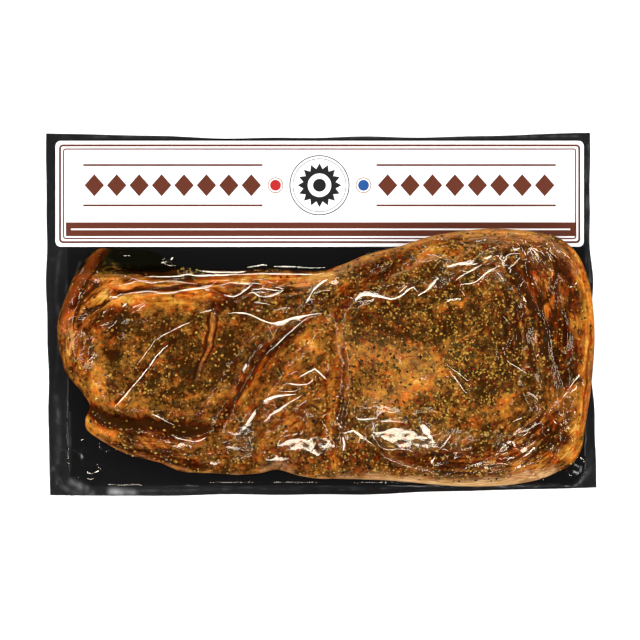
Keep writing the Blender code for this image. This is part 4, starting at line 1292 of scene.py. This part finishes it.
# Pleats that stand in the film: a line, the width of the face that mirrors a softbox, then of its soft foot.
FILM_FOLDS = (
    # along the roast's upper edge
    (((-70.5, 24.7), (-60, 24.3), (-50, 24.2), (-43.5, 24.5)), 0.95, 0.05),
    (((-43, 26.9), (-38, 27.4), (-33.7, 28.1), (-31.3, 27.5)), 0.75, 0.1),
    (((-28, 27.3), (-22, 27.1), (-15, 26.8), (-5, 26.5), (2, 26.8)), 0.75, 0.1),
    (((-100, 21.5), (-88, 21.5), (-81, 22), (-77, 23.2), (-71, 22.3), (-61, 22.6), (-49.5, 22.8),
      (-34, 23.2), (-18, 23.1), (-5, 22.8), (2, 23.2)), 0.95, 0.05),
    # on the pool and by the rolled rim
    (((-93.5, 29), (-91.5, 30), (-89, 31), (-85.5, 33)), 0.82, 0.6),
    (((-90.5, 28.5), (-86.5, 28), (-82, 28.5)), 0.4, 0.2),
    (((-115, 33), (-112.5, 33.5), (-110, 33)), 0.35, 0.2),
    (((-125.5, 26), (-125.5, 23)), 0.7, 0.2),
    (((-129, 25), (-128.5, 23.5)), 0.6, 0.2),
    (((-133.5, 25), (-133, 23.5)), 0.6, 0.2),
    (((-144.5, 24), (-144, 22.5)), 0.8, 0.2),
    # crumpled lower left corner of the pocket
    (((-140, -73), (-138, -72.5)), 0.9, 0.4),
    (((-136, -91.5), (-134, -92), (-132, -92), (-129, -90.5)), 1.07, 0.6),
    (((-136, -95), (-132, -95.5)), 0.5, 1.08),
    (((-140, -80.5), (-139.5, -85)), 0.74, 0.8),
    (((-130, -87), (-128.5, -89), (-127, -91)), 0.66, 0.6),
    (((-128.5, -75.5), (-127.5, -77.5), (-127, -79)), 0.66, 0.6),
    # seal
    (((-146, -76.5), (-146, -83), (-145.5, -91)), 0.9, 0.3),
    (((-127, -98.5), (-126.5, -98), (-125, -97.5)), 0.7, 0.3),
    (((-124.5, -98.5), (-118.5, -99), (-112.5, -99), (-107.5, -98.5), (-103.5, -99.5)), 0.6, 0.5),
    (((-65.5, -97.5), (-52, -97.5), (-34.5, -97.5)), 0.25, 0.4),
    (((-29.5, -97.5), (-12.5, -97.5), (0.5, -97.5)), 0.2, 0.4),
    (((16.5, -97.5), (41, -97.5), (69, -97)), 0.22, 0.4),
    # band along the upper left
    (((-119, 24), (-115.5, 22.5), (-111.5, 21.5)), 0.6, 0.4),
    (((-117.5, 15.5), (-114, 16.5), (-109.5, 17.5), (-104, 19), (-97, 18), (-85.5, 19),
      (-75, 17.5), (-70.5, 17)), 0.4, 0.6),
    (((-115.5, 10.5), (-109.5, 11.5), (-98, 12.5), (-92.5, 11.5), (-85.5, 11.5), (-79.5, 13),
      (-66.5, 14.5), (-62.5, 16.5), (-59, 19)), 0.4, 0.6),
    (((-79.5, 13), (-73, 14), (-67, 14.5)), 0.57, 0.6),
    # corners of the pocket
    (((-126, -80), (-122.5, -79)), 0.25, 0.6),
    (((-141.5, -93), (-140.5, -95)), 0.35, 0.4),
    (((142.5, -89), (143.5, -92.5), (145.5, -94)), 0.6, 0.5),
    (((147, -87), (149, -89.5), (150, -92), (149, -93), (147, -94)), 0.45, 0.4),
    (((150, -83), (152, -84.5), (153.5, -87), (154, -89)), 0.35, 0.5),
    (((152, -80), (153.5, -78.5)), 0.45, 0.3),
    (((128, -96.5), (129, -96)), 0.6, 0.3),
    (((153, -64), (154, -66)), 0.35, 0.3),
    # small folds at the left
    (((-121, 9.5), (-116.5, 9)), 0.6, 0.5),
    (((-139.5, 21), (-138.5, 24), (-137, 27)), 0.8, 0.3),
    # fan of folds at the upper right
    (((109, 36), (111, 37), (113.5, 37.5)), 0.6, 0.6),
    (((111, 36), (111, 32), (111.5, 28.5)), 0.6, 0.5),
    (((108.5, 33), (108.5, 31), (109.5, 29)), 0.5, 0.4),
    (((113.5, 33.5), (113, 30)), 0.5, 0.4),
    (((106.5, 32.5), (105, 30), (104.5, 28)), 0.45, 0.5),
    (((115, 32), (116.5, 28.5), (117, 24)), 0.5, 0.5),
    (((109.5, 17), (113, 13), (115.5, 9), (118, 4.5)), 0.5, 0.6),
    (((112.5, 24), (113.5, 21), (114.5, 17.5)), 0.4, 0.4),
    (((117, 17.5), (119.5, 11.5), (122, 6.5), (123.5, 2), (124.5, -1.5)), 0.5, 0.6),
    (((119, 21.5), (122, 19)), 0.5, 0.4),
    (((119.5, 17.5), (122, 15.5), (123, 17.5)), 0.5, 0.4),
    (((127, 6), (128, 2.5), (127, 0.5)), 0.66, 0.6),
    # furrows of the right end
    (((125.5, 1.5), (128.5, -5), (130, -11.5), (131, -21), (132, -29), (134.5, -35),
      (137, -39.5)), 0.45, 0.6),
    (((129, -23), (128.5, -27)), 0.5, 0.4),
    (((109.5, -11.5), (107.5, -15.5), (106.5, -18)), 0.35, 0.4),
    (((111, -11.5), (110, -15.5), (109, -18.5)), 0.35, 0.4),
    (((117, -14), (118.5, -11.5), (120.5, -12), (121.5, -15.5)), 0.55, 0.6),
    (((121, -25.5), (122.5, -24.5), (124, -22.5), (123.5, -20)), 0.45, 0.5),
    (((142.5, 10.5), (144, 4.5), (145.5, -2.5), (147.5, -8), (148, -14), (148.5, -18.5)), 0.45, 0.5),
    (((134.5, 36.5), (139, 33), (142, 28), (143.5, 22)), 0.35, 0.5),
    (((130, 38.5), (137, 36), (142.5, 32)), 0.3, 0.5),
    (((149.5, 29), (152, 24.5), (154, 19)), 0.6, 0.3),
    # lower right corner
    (((114.5, -44.5), (116.5, -49.5), (119, -54), (120.5, -57.5)), 0.35, 0.5),
    (((146.5, -37.5), (146, -42), (142.5, -45), (137.5, -49), (132.5, -53.5), (128.5, -59)), 0.4, 0.6),
    (((129, -52), (131, -50), (134.5, -50.5)), 0.4, 0.5),
    (((138.5, -50.5), (138, -54.5), (137.5, -58.5)), 0.4, 0.4),
    (((142.5, -56), (144.5, -55), (145.5, -57.5), (145.5, -61)), 0.5, 0.5),
    (((129, -76.5), (130.5, -74.5), (132.5, -73)), 0.55, 0.4),
    (((129, -78), (132, -77), (133.5, -74)), 0.6, 0.4),
    (((105.5, -84), (107, -82), (110.5, -81.5)), 0.5, 0.6),
    (((128.5, -85), (132.5, -83.5), (137, -83.5)), 0.4, 0.5),
    (((136.5, -73.5), (140, -72), (142.5, -70)), 0.4, 0.5),
    (((132.5, -60.5), (134, -62), (137, -61.5)), 0.4, 0.4),
    (((119.5, -64.5), (122.5, -63.5), (124.5, -62)), 0.55, 0.5),
    (((109, -61.5), (111.5, -60), (114.5, -59)), 0.45, 0.6),
    # upper middle
    (((71.5, 7.5), (75, 8), (79, 8.5)), 0.57, 1),
    (((-53.5, 18), (-34, 17.5)), 0.4, 0.6),
    (((-55.5, 10.5), (-50, 9.5), (-45, 12), (-40.5, 15.5)), 0.6, 1.2),
    (((-22, 13), (-33, 14.5), (-40.5, 13), (-34, 9.5), (-28, 10), (-22, 13), (-21.5, 14.5),
      (-26, 15.5)), 0.45, 1),
    (((-11, 3), (-7.5, 7.5), (-4.5, 13), (3.5, 19.5)), 0.78, 1.8),
    (((-53, 0.5), (-43, 0.5), (-32, -4), (-26.5, -5), (-14, -1.5), (0, 0.5)), 1.11, 2.2),
    # valley
    (((-8.5, -2.5), (-16.5, -9), (-32, -23.5)), 0.57, 1.2),
    (((-33.5, -17.5), (-42.5, -30), (-50, -40), (-57.5, -43.5)), 0.57, 1.2),
    # thin end
    (((-70, 0.5), (-62, 1.5), (-62.5, -1.5), (-63, -5)), 0.55, 1.08),
    (((-108.5, 0.5), (-104.5, 2.5), (-100.5, 6), (-105, 4.5), (-109, 2.5)), 0.45, 1.08),
    (((-114, 4), (-111, 6.5)), 0.57, 1),
    (((-148.5, -5), (-145, -3.5), (-142.5, -0.5)), 0.45, 0.6),
    (((-98, -19), (-91, -13), (-75, -5)), 0.6, 1.08),
    (((-105.5, -29.5), (-101.5, -24), (-95, -15.5)), 0.4, 0.6),
    (((-118, -53), (-103, -35.5), (-93, -22.5), (-87, -17.5)), 0.57, 1.08),
    (((-129.5, -48.5), (-124.5, -46.5)), 0.45, 0.6),
    # overhang and flap
    (((-97.5, -57), (-88.5, -62), (-84.5, -64)), 0.61, 1.4),
    (((-105, -68), (-99.5, -68.5), (-97, -70.5), (-98, -75.5)), 0.4, 1.08),
    (((-86, -70), (-73, -73), (-65.5, -70.5)), 0.6, 1.32),
    # centre
    (((-12.5, -36), (-5, -31.5), (-2.5, -32), (3.5, -37.5)), 0.6, 1.6),
    (((-5.5, -32), (-4, -35.5), (-8.5, -40), (-20, -39.5)), 0.55, 1.08),
    (((-27, -43.5), (-21, -44.5), (-14, -44), (-10.5, -40.5)), 0.45, 1.2),
    (((-45.5, -66.5), (-38, -55.5), (-32.5, -49.5), (-25.5, -46.5), (-14, -46)), 0.86, 1.8),
    (((-45.5, -66.5), (-40.5, -62.5), (-32, -61), (-28.5, -57), (-10.5, -46)), 0.55, 1.6),
    # seam and the big glare
    (((9.5, -53.5), (9, -63), (12, -68), (12.5, -85.5)), 0.55, 1.2),
    (((12, -68), (16.5, -66.5), (20, -67), (31.5, -76)), 0.61, 1.6),
    (((21, -50), (19.5, -56), (22, -59.5), (32, -59.5)), 0.55, 1.4),
    (((26, -63), (31, -72.5), (36, -77.5), (45.5, -77.5), (52, -78.5)), 0.6, 1.8),
    (((67, -77), (70.5, -73), (73.5, -69)), 0.5, 0.8),
    (((68, -77.5), (72.5, -78), (77.5, -80)), 0.5, 0.8),
    (((66.5, -78), (65.5, -81.5), (63, -85.5)), 0.75, 0.8),
    (((66.5, -76), (62.5, -70), (58.5, -64)), 0.57, 1.4),
    # thick end and its lower edge
    (((70, -28.5), (83, -38.5), (82, -44.5), (77.5, -38), (72.5, -32)), 0.35, 1.2),
    (((33, -80.5), (46, -86.5), (63.5, -90.5)), 0.65, 1.4),
    (((68, -93.5), (80, -89.5), (95.5, -84.5)), 0.5, 1.4),
    # shoulder and the folds above the thick end
    (((12.5, -0.5), (22.5, 9.5), (31, 9.5), (40, 8), (46, 10), (51.5, 14.5), (54.5, 12.5)), 0.86, 1.88),
    (((55, 10), (61, 13.5), (67, 20.5)), 0.7, 1.2),
    (((71.5, 27), (79, 29), (89, 28.5)), 0.57, 1.6),
    (((76.5, 19), (83, 23), (92, 28)), 0.42, 0.6),
    (((102, 27.5), (96, 24), (87, 17.5), (80.5, 16.5), (79, 14.5), (82, 10)), 0.5, 0.8),
    (((71, 6.5), (75, 7.5), (80, 8)), 0.55, 0.6),
    (((93, 31.5), (97, 33.5)), 0.57, 1.32),
    # upper right corner
    (((117, 23), (116, 29.5), (117.5, 34)), 0.5, 0.5),
    (((117, 34), (120.5, 37.5), (125, 35.5)), 0.5, 0.5),
    (((109.5, 17), (114, 10.5), (118, 5)), 0.4, 0.6),
    (((117, 17), (123, 6), (124.5, 0.5)), 0.4, 0.6),
    (((141.5, 14.5), (144, 15.5), (146.5, 17.5)), 0.6, 1.08),
    # right end and lower right corner
    (((105, -26.5), (110, -29.5), (118, -34.5)), 0.3, 0.6),
    (((126, -6.5), (130.5, -22), (135, -34), (137, -39)), 0.35, 0.6),
    (((148, -35), (142.5, -41.5), (137.5, -47)), 0.6, 1.4),
    (((118, -45), (121.5, -49), (124, -56)), 0.55, 1.32),
    (((121.5, -69), (118.5, -69.5), (119, -74), (120.5, -76), (115, -81.5)), 0.57, 1.4),
    (((99.5, -81), (104, -76), (108.5, -73.5), (111, -77)), 0.4, 1.08),
    (((113.5, -87.5), (118, -86.5), (121.5, -84.5)), 0.65, 1.4),
    (((144, -70), (144.5, -73.5), (147.5, -77.5)), 0.45, 0.6),
    (((102.5, -90.5), (105.5, -89.5), (114, -89.5)), 0.3, 0.6),
)
# Small flats of the film that mirror a softbox: centre, half length and width, turn in degrees, strength.
GLARES = (
    ((-87.6, 31.1), (5.0, 2.0), 0, 1),  # on the pool
    ((7.1, 17.9), (3.4, 2.8), 25, 0.6),  # shoulder valley
    ((-21.0, 1.8), (3.4, 1.0), 0, 0.5),  # under the eye, right
    ((-36.5, 1.8), (3.4, 1.0), 0, 0.5),  # under the eye, left
    ((-80.4, -75.6), (3.2, 3.0), 0, 0.8),  # flap
    ((115.5, -77.5), (4.0, 3.0), 60, 0.8),  # rim, lower right
    ((114.0, -87.5), (6.5, 1.8), 12, 0.7),  # rim, low
    ((-31.0, -50.1), (4.5, 1.7), 32, 0.7),  # long tent
    ((-16.3, -75.3), (13.5, 8.5), 10, 1),  # lower centre
    ((-22.5, -83.9), (13.5, 4.2), 0, 1),  # lower centre, low
    ((-3.0, -79.5), (2.3, 2.6), 0, 1),  # by the seam, left
    ((3.4, -76.2), (5.4, 6.0), 0, 0.8),  # by the seam, right
    ((-61.2, -86.2), (4.3, 2.2), 0, 0.8),  # end of the valley
    ((36, -55.0), (13, 5.5), -10, 0.45),  # over the big glare
    ((46.5, -71.3), (19.5, 10.5), -16, 1),  # big glare
    ((59.6, -65.1), (6.0, 3.0), -55, 1),  # star
    ((25.5, 7.2), (6.4, 1.8), 6, 0.8),  # shoulder
    ((83.0, 28.8), (6.3, 2.0), 8, 0.7),  # upper fold
)
GLARE_SLOPE = math.tan(math.radians(18.5))
GLARE_STEP = 1.4
GLARE_PEBBLES = (0.075, 2.6)
# How strongly the film mirrors, off and on these flats, where it stands clear of the meat.
FILM_SHINE = (0.42, 1.6)
FACING_DULL = 0.75
FACING_WIDTHS = (0.35, 0.14)
STEEP_DULL = 0.75
STEEP_FROM = 0.8
EDGE_SHINE = 0.35
# Height and limits of the line where the film meets the web.
FILM_FOOT = 0.9
FILM_FOOT_LOW = (-147.0, -99.0)
FILM_FOOT_HIGH = (153.6, 41.0)

film, plan, turn, down, shape = add_roast_grid("clear_film")
top, widest = roast_surface(plan)
stretched = top.reshape(shape)
held = stretched.copy()
for _ in range(BRIDGE_PASSES):
    stretched = np.maximum(blurred(stretched, 1), held)
_body, pool = lobe_height(plan)
# It lies down on the pool, and it is smoother towards the edge.
stretched = stretched + (held - stretched) * FILM_POOL_HOLD * smooth_step(pool * 3.0).reshape(shape)
free = smooth_step(edge_gap(plan) / 6.0)
relief = np.zeros(len(plan))
for seed, (height, size, sharp) in enumerate(FILM_WRINKLES):
    noise = crease_noise(plan, size, 80 + seed) if sharp else soft_noise(plan, size, 80 + seed)
    relief += height * noise
base = blurred(stretched, 12).ravel()
level = stretched.ravel() + FILM_GAP + relief * free
shine = FILM_SHINE[0] * (1.0 - 0.9 * smooth_step(2.0 * pool))
# Slopes that would mirror a softbox, and steep ones, are dulled, so that the flats and pleats stand out.
rise, east, north = (np.gradient(field.reshape(shape)) for field in (base, plan[:, 0], plan[:, 1]))
area = east[0] * north[1] - east[1] * north[0]
area = np.where(np.abs(area) > 1e-6, area, 1.0)
slope_east = (rise[0] * north[1] - rise[1] * north[0]) / area
slope_north = (east[0] * rise[1] - east[1] * rise[0]) / area
facing = ((np.abs(slope_north) - GLARE_SLOPE) / FACING_WIDTHS[1]) ** 2
facing = np.exp(-facing - (slope_east / FACING_WIDTHS[0]) ** 2)
shine *= 1.0 - FACING_DULL * facing.ravel()
shine *= 1.0 - STEEP_DULL * smooth_step(np.hypot(slope_east, slope_north).ravel() - STEEP_FROM)
for centre, reach, angle, strength in GLARES:
    offset = plan - np.array(centre)
    step = np.array((0.0, GLARE_STEP))
    above, below = (base[np.argmin(np.sum((offset - sign * step) ** 2, axis=1))] for sign in (1, -1))
    angle = math.radians(angle)
    turned = offset @ np.array([[math.cos(angle), -math.sin(angle)], [math.sin(angle), math.cos(angle)]])
    window = np.exp(-(np.sum((turned / np.array(reach)) ** 2, axis=1) ** 3))
    slope = math.copysign(GLARE_SLOPE, above - below)
    flat = base[np.argmin(np.sum(offset**2, axis=1))] + offset[:, 1] * slope
    # The flat is raised until it clears the film that stretches over the meat.
    clearance = np.max((stretched.ravel() + FILM_GAP - flat)[window > 0.5])
    pressed = GLARE_PEBBLES[0] * soft_noise(plan, GLARE_PEBBLES[1], 99)
    shine = np.maximum(shine, strength * FILM_SHINE[1] * smooth_step((window - 0.3) / 0.35))
    level += window * (flat + max(clearance, 0.0) + 0.12 * relief + pressed - level)
level = np.maximum(level, top + FILM_GAP)
shine *= EDGE_SHINE + (1.0 - EDGE_SHINE) * smooth_step(edge_gap(plan) / 3.0)

sideways = np.column_stack([np.cos(turn), np.sin(turn)])
stand_off = 0.35 + FILM_SIDE_REACH * widest
pleats = PLEAT[0] * soft_noise(plan, PLEAT[1], 90) * np.sin(math.pi * down)
bulge = np.sin(np.minimum(down * 2.0, 1.0) * math.pi / 2)
reach = FILM_SIDE_START + bulge * (stand_off - FILM_SIDE_START) + pleats
side_plan = plan + sideways * reach[:, None]
held_in = np.clip(side_plan, FILM_FOOT_LOW, FILM_FOOT_HIGH)
side_plan += (held_in - side_plan) * (down**1.5)[:, None]
side_height = FILM_FOOT + (widest + FILM_GAP + FOOT - FILM_FOOT) * (1 - down) ** 0.9
on_side = down > 0
plan = np.where(on_side[:, None], side_plan, plan)
place_vertices(film, np.column_stack([plan, np.where(on_side, side_height, FOOT + level)]))
add_attribute(film, "shine", shine)
weld_side(film)
film.data.shade_smooth()


FILM_GLOSS = (1.0, 0.92, 0.75, 1.0)
FILM_CLEAR = (0.985, 0.975, 0.955, 1.0)
FILM_MOST_SHINE = 0.2


def film_material(name, index, roughness):
    """Clear film: see-through, with a sharp surface shine that grows with the refractive index."""
    material, shader = new_material(name)
    material.node_tree.nodes.remove(shader)
    pimples = noise_node(material, object_place(material), 430.0, 1.5)
    normal = bump_node(material, pimples, 0.045, 0.0007)
    gloss = {"Color": FILM_GLOSS, "Roughness": roughness, "Normal": normal}
    shine = add_node(material, "ShaderNodeBsdfGlossy", gloss).outputs[0]
    through = add_node(material, "ShaderNodeBsdfTransparent", {"Color": FILM_CLEAR}).outputs[0]
    mirrored = add_node(material, "ShaderNodeFresnel", {"IOR": index, "Normal": normal}).outputs[0]
    amount = math_node(material, "MULTIPLY", mirrored, read_attribute(material, "shine"))
    amount = math_node(material, "MINIMUM", amount, FILM_MOST_SHINE)
    blend = add_node(material, "ShaderNodeMixShader", {0: amount, 1: through, 2: shine})
    feed(material, material.node_tree.nodes["Material Output"], Surface=blend.outputs[0])
    return material


film.data.materials.append(film_material("clear film", 1.52, 0.11))
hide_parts("sealed_roast")
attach(film, "root")


# Pleats: where the film has too much width it stands in fine folds. Each is a narrow roof of the same clear
# film along its line, with one long face that slopes towards a softbox and a short steep back.
PLEAT_STEP = 0.5
PLEAT_PROBE = 1.2
# Tilts of a face that mirror a softbox: the axis it leans along, its slope, and how far it may lean along
# the other axis.
PLEAT_TILTS = ((1, 0.335, 0.33), (1, -0.335, 0.33), (0, 0.364, 0.18), (0, -0.364, 0.18))
PLEAT_FAVOURS = (0.3, 0.25)
PLEAT_TAPER = 0.22
PLEAT_BACK = 0.3
# How far apart the pleats lie in the noise that varies their widths.
PLEAT_DRAW_STEP = 7.3
PLEAT_CREST = 0.07
PLEAT_LOOPS = (0.0, 0.12, 0.9, 1.0)
FOOT_LOOPS = (0.3, 0.6, 0.8, 1.0)
FOOT_SHINE = 0.25
FINE_PLEAT_SPREAD = 0.62
FINE_PLEAT_EDGE = 2.0
FINE_PLEAT_LOWEST = 8.0
FINE_PLEAT_LENGTHS = (3.0, 12.0)
FINE_PLEAT_WIDTHS = (0.2, 0.55)
FINE_PLEAT_FEET = (0.3, 1.4)
FINE_PLEAT_SWING = 12.0
FINE_PLEAT_BEND = 12.0
PLEAT_SHINE = (0.65, 1.0)
PLEAT_SHINE_WIDTHS = (0.3, 0.7)
FINE_PLEAT_SHINE = 0.45
PLEAT_SUNK = 0.1
PLEAT_STAND = 0.04
PLEAT_MOST_SLOPE = 3.0
PLEAT_MOST_RISE = 0.6
PLEAT_PASSES = 3

surfaces = [BVHTree.FromObject(obj, bpy.context.evaluated_depsgraph_get()) for obj in (film, web)]


def film_height(plan, on_web=False):
    """Height of the clear film at plan points, or of the web where there is none, from straight above."""
    heights = np.full(len(plan), WEB_THICKNESS)
    for i, (x, y) in enumerate(plan):
        for surface in surfaces[1:] if on_web else surfaces:
            hit = surface.ray_cast((x * MM, y * MM, 1.0), (0.0, 0.0, -1.0))[0]
            if hit is not None:
                heights[i] = hit.z / MM
                break
    return heights


def even_steps(line, step):
    """Points about a step apart along a smooth line, their directions and how far along they lie, 0 to 1."""
    fine = smooth_curve(line, 12, closed=False)
    run = np.concatenate([[0.0], np.cumsum(np.linalg.norm(np.diff(fine, axis=0), axis=1))])
    places = np.linspace(0.0, run[-1], max(int(run[-1] / step), 3) + 1)
    points = np.column_stack([np.interp(places, run, fine[:, axis]) for axis in (0, 1)])
    heading = np.gradient(points, axis=0)
    return points, heading / np.linalg.norm(heading, axis=1)[:, None], places


def running_mean(values, reach):
    """Each value averaged with those up to reach places before and after it."""
    padded = np.pad(values, reach, mode="edge")
    return np.convolve(padded, np.ones(2 * reach + 1) / (2 * reach + 1), mode="valid")


def lit_face(heading, rise_along, axis, slope):
    """The slope across a line that gives its face a slope along an axis, and how it leans the other way."""
    other = heading[:, 1 - axis]
    other = np.where(np.abs(other) < 0.2, np.copysign(0.2, other), other)
    lean = (rise_along - slope * heading[:, axis]) / other
    slope = slope * (1.0 - 0.9 * np.minimum(lean**2, 0.12))
    across = (slope - rise_along * heading[:, axis]) / other
    return (across if axis == 1 else -across), lean


def fine_pleats(seed):
    """Short pleats that follow the folds wherever the film is gathered, in the form of FILM_FOLDS."""
    draw = np.random.default_rng(seed)
    pleats = []
    for centre, reach, turn, _pitch, _length, _furrow, count in GATHERS:
        while count > 0:
            start = np.array(centre) + FINE_PLEAT_SPREAD * np.array(reach) * draw.standard_normal(2)
            angle = math.radians(turn + FINE_PLEAT_SWING * draw.standard_normal())
            bend = math.radians(FINE_PLEAT_BEND * draw.standard_normal())
            stride = draw.uniform(*FINE_PLEAT_LENGTHS) / 3
            line = [start]
            for step in range(3):
                heading = angle + bend * (step - 1)
                line.append(line[-1] + stride * np.array([math.cos(heading), math.sin(heading)]))
            inside = np.min(edge_gap(np.array(line))) > FINE_PLEAT_EDGE
            if inside and all(film_height(np.array(line)) > FINE_PLEAT_LOWEST):
                pleats.append((line, draw.uniform(*FINE_PLEAT_WIDTHS), draw.uniform(*FINE_PLEAT_FEET)))
                count -= 1
    return pleats


pleat_points, pleat_shine, pleat_faces = [], [], []
for number, (line, lit_width, foot_width) in enumerate(FILM_FOLDS + tuple(fine_pleats(97))):
    middle, heading, run = even_steps(line, PLEAT_STEP)
    across = np.column_stack([-heading[:, 1], heading[:, 0]])
    on_web = np.median(film_height(middle)) < WEB_THICKNESS + 1.0
    # How the ground leans across and along the line, and which way is uphill.
    ground = film_height(middle, on_web)
    lean_across = film_height(middle + PLEAT_PROBE * across, on_web)
    lean_across -= film_height(middle - PLEAT_PROBE * across, on_web)
    lean_across = running_mean(lean_across / (2 * PLEAT_PROBE), 4)
    lean_along = running_mean(np.gradient(ground, run), 6)
    if on_web:
        uphill = (0.0, -middle[0, 1])
    else:
        east = np.mean(lean_along * heading[:, 0] - lean_across * heading[:, 1])
        north = np.mean(lean_along * heading[:, 1] + lean_across * heading[:, 0])
        uphill = (east, north)
    # The face takes the tilt that the line allows along most of its length, best if it looks uphill.
    scores = []
    for axis, slope, most_lean in PLEAT_TILTS:
        lean = lit_face(heading, lean_along, axis, slope)[1]
        score = np.mean(np.abs(lean) < most_lean)
        scores.append(score + PLEAT_FAVOURS[0] * (slope * uphill[axis] > 0) + PLEAT_FAVOURS[1] * axis)
    axis, slope, _most_lean = PLEAT_TILTS[int(np.argmax(scores))]
    taper = np.sqrt(np.clip(np.minimum(run, run[-1] - run) / (PLEAT_TAPER * run[-1]), 0.0, 1.0))
    apart = np.full(len(run), PLEAT_DRAW_STEP * number)
    uneven = 0.7 + 0.45 * soft_noise(np.column_stack([run, apart]), 6.0, 95)
    narrowing = 0.12 + 0.88 * taper
    most = ground + PLEAT_STAND + PLEAT_MOST_RISE * (1.0 + 2.0 * np.abs(lean_across))
    rise_along, way = lean_along, 0.0
    # The crest's own rise along the line tilts the face too, so both are found together in a few passes.
    for _ in range(PLEAT_PASSES):
        face = running_mean(lit_face(heading, rise_along, axis, slope)[0], 2)
        relative = np.clip(face - lean_across, -PLEAT_MOST_SLOPE, PLEAT_MOST_SLOPE)
        way = way or -math.copysign(1.0, np.median(relative))
        face = lean_across + relative
        lit = lit_width * narrowing * uneven
        soft = foot_width * narrowing
        shrink = PLEAT_MOST_RISE * (1.0 + np.abs(lean_across)) / (np.abs(relative) * (lit + soft / 2) + 0.001)
        shrink = running_mean(np.minimum(1.0, shrink), 3)
        lit *= shrink
        soft *= shrink
        reach = lit + soft
        ground_at_foot = film_height(middle + across * (way * reach)[:, None], on_web) + PLEAT_STAND
        drop = way * (face * lit + soft * (face + lean_across) / 2)
        crest = np.clip(ground_at_foot - drop, ground + PLEAT_STAND, most)
        crest = running_mean(running_mean(crest, 4), 4) + PLEAT_STAND
        rise_along = running_mean(np.gradient(crest + way * face * lit / 2, run), 1)
    # The section from the short back over the lit face to the end of the soft foot.
    section = [(-way * PLEAT_BACK * np.maximum(lit, 0.3), ground - PLEAT_SUNK)]
    section += [(way * lit * share, crest + face * way * lit * share) for share in PLEAT_LOOPS]
    for share in FOOT_LOOPS:
        run_out = face * share + (lean_across - face) * share**2 / 2
        section.append((way * (lit + soft * share), crest + way * (face * lit + soft * run_out)))
    section.append((way * (reach + PLEAT_CREST), ground_at_foot - PLEAT_SUNK - PLEAT_STAND))
    first = sum(len(points) for points in pleat_points)
    count = len(middle)
    bright = FINE_PLEAT_SHINE
    if number < len(FILM_FOLDS):
        bright = np.interp(lit_width, PLEAT_SHINE_WIDTHS, PLEAT_SHINE)
    for loop, (offset, rise) in enumerate(section):
        pleat_points.append(np.column_stack([middle + across * offset[:, None], rise]))
        in_foot = max(loop - len(PLEAT_LOOPS), 0) / (len(FOOT_LOOPS) + 1)
        pleat_shine.append(np.full(count, bright * (1.0 + (FOOT_SHINE - 1.0) * in_foot**0.5)))
    for column in range(len(section) - 1):
        for i in range(count - 1):
            a = first + column * count + i
            corners = (a, a + 1, a + count + 1, a + count)
            pleat_faces.append(corners if way < 0 else corners[::-1])
double_film = film_material("clear film in a double fold", 1.9, 0.1)
pleated = new_piece("film_pleats", np.concatenate(pleat_points), pleat_faces, double_film)
pleated.data.shade_smooth()
add_attribute(pleated, "shine", np.concatenate(pleat_shine))
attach(pleated, "root")
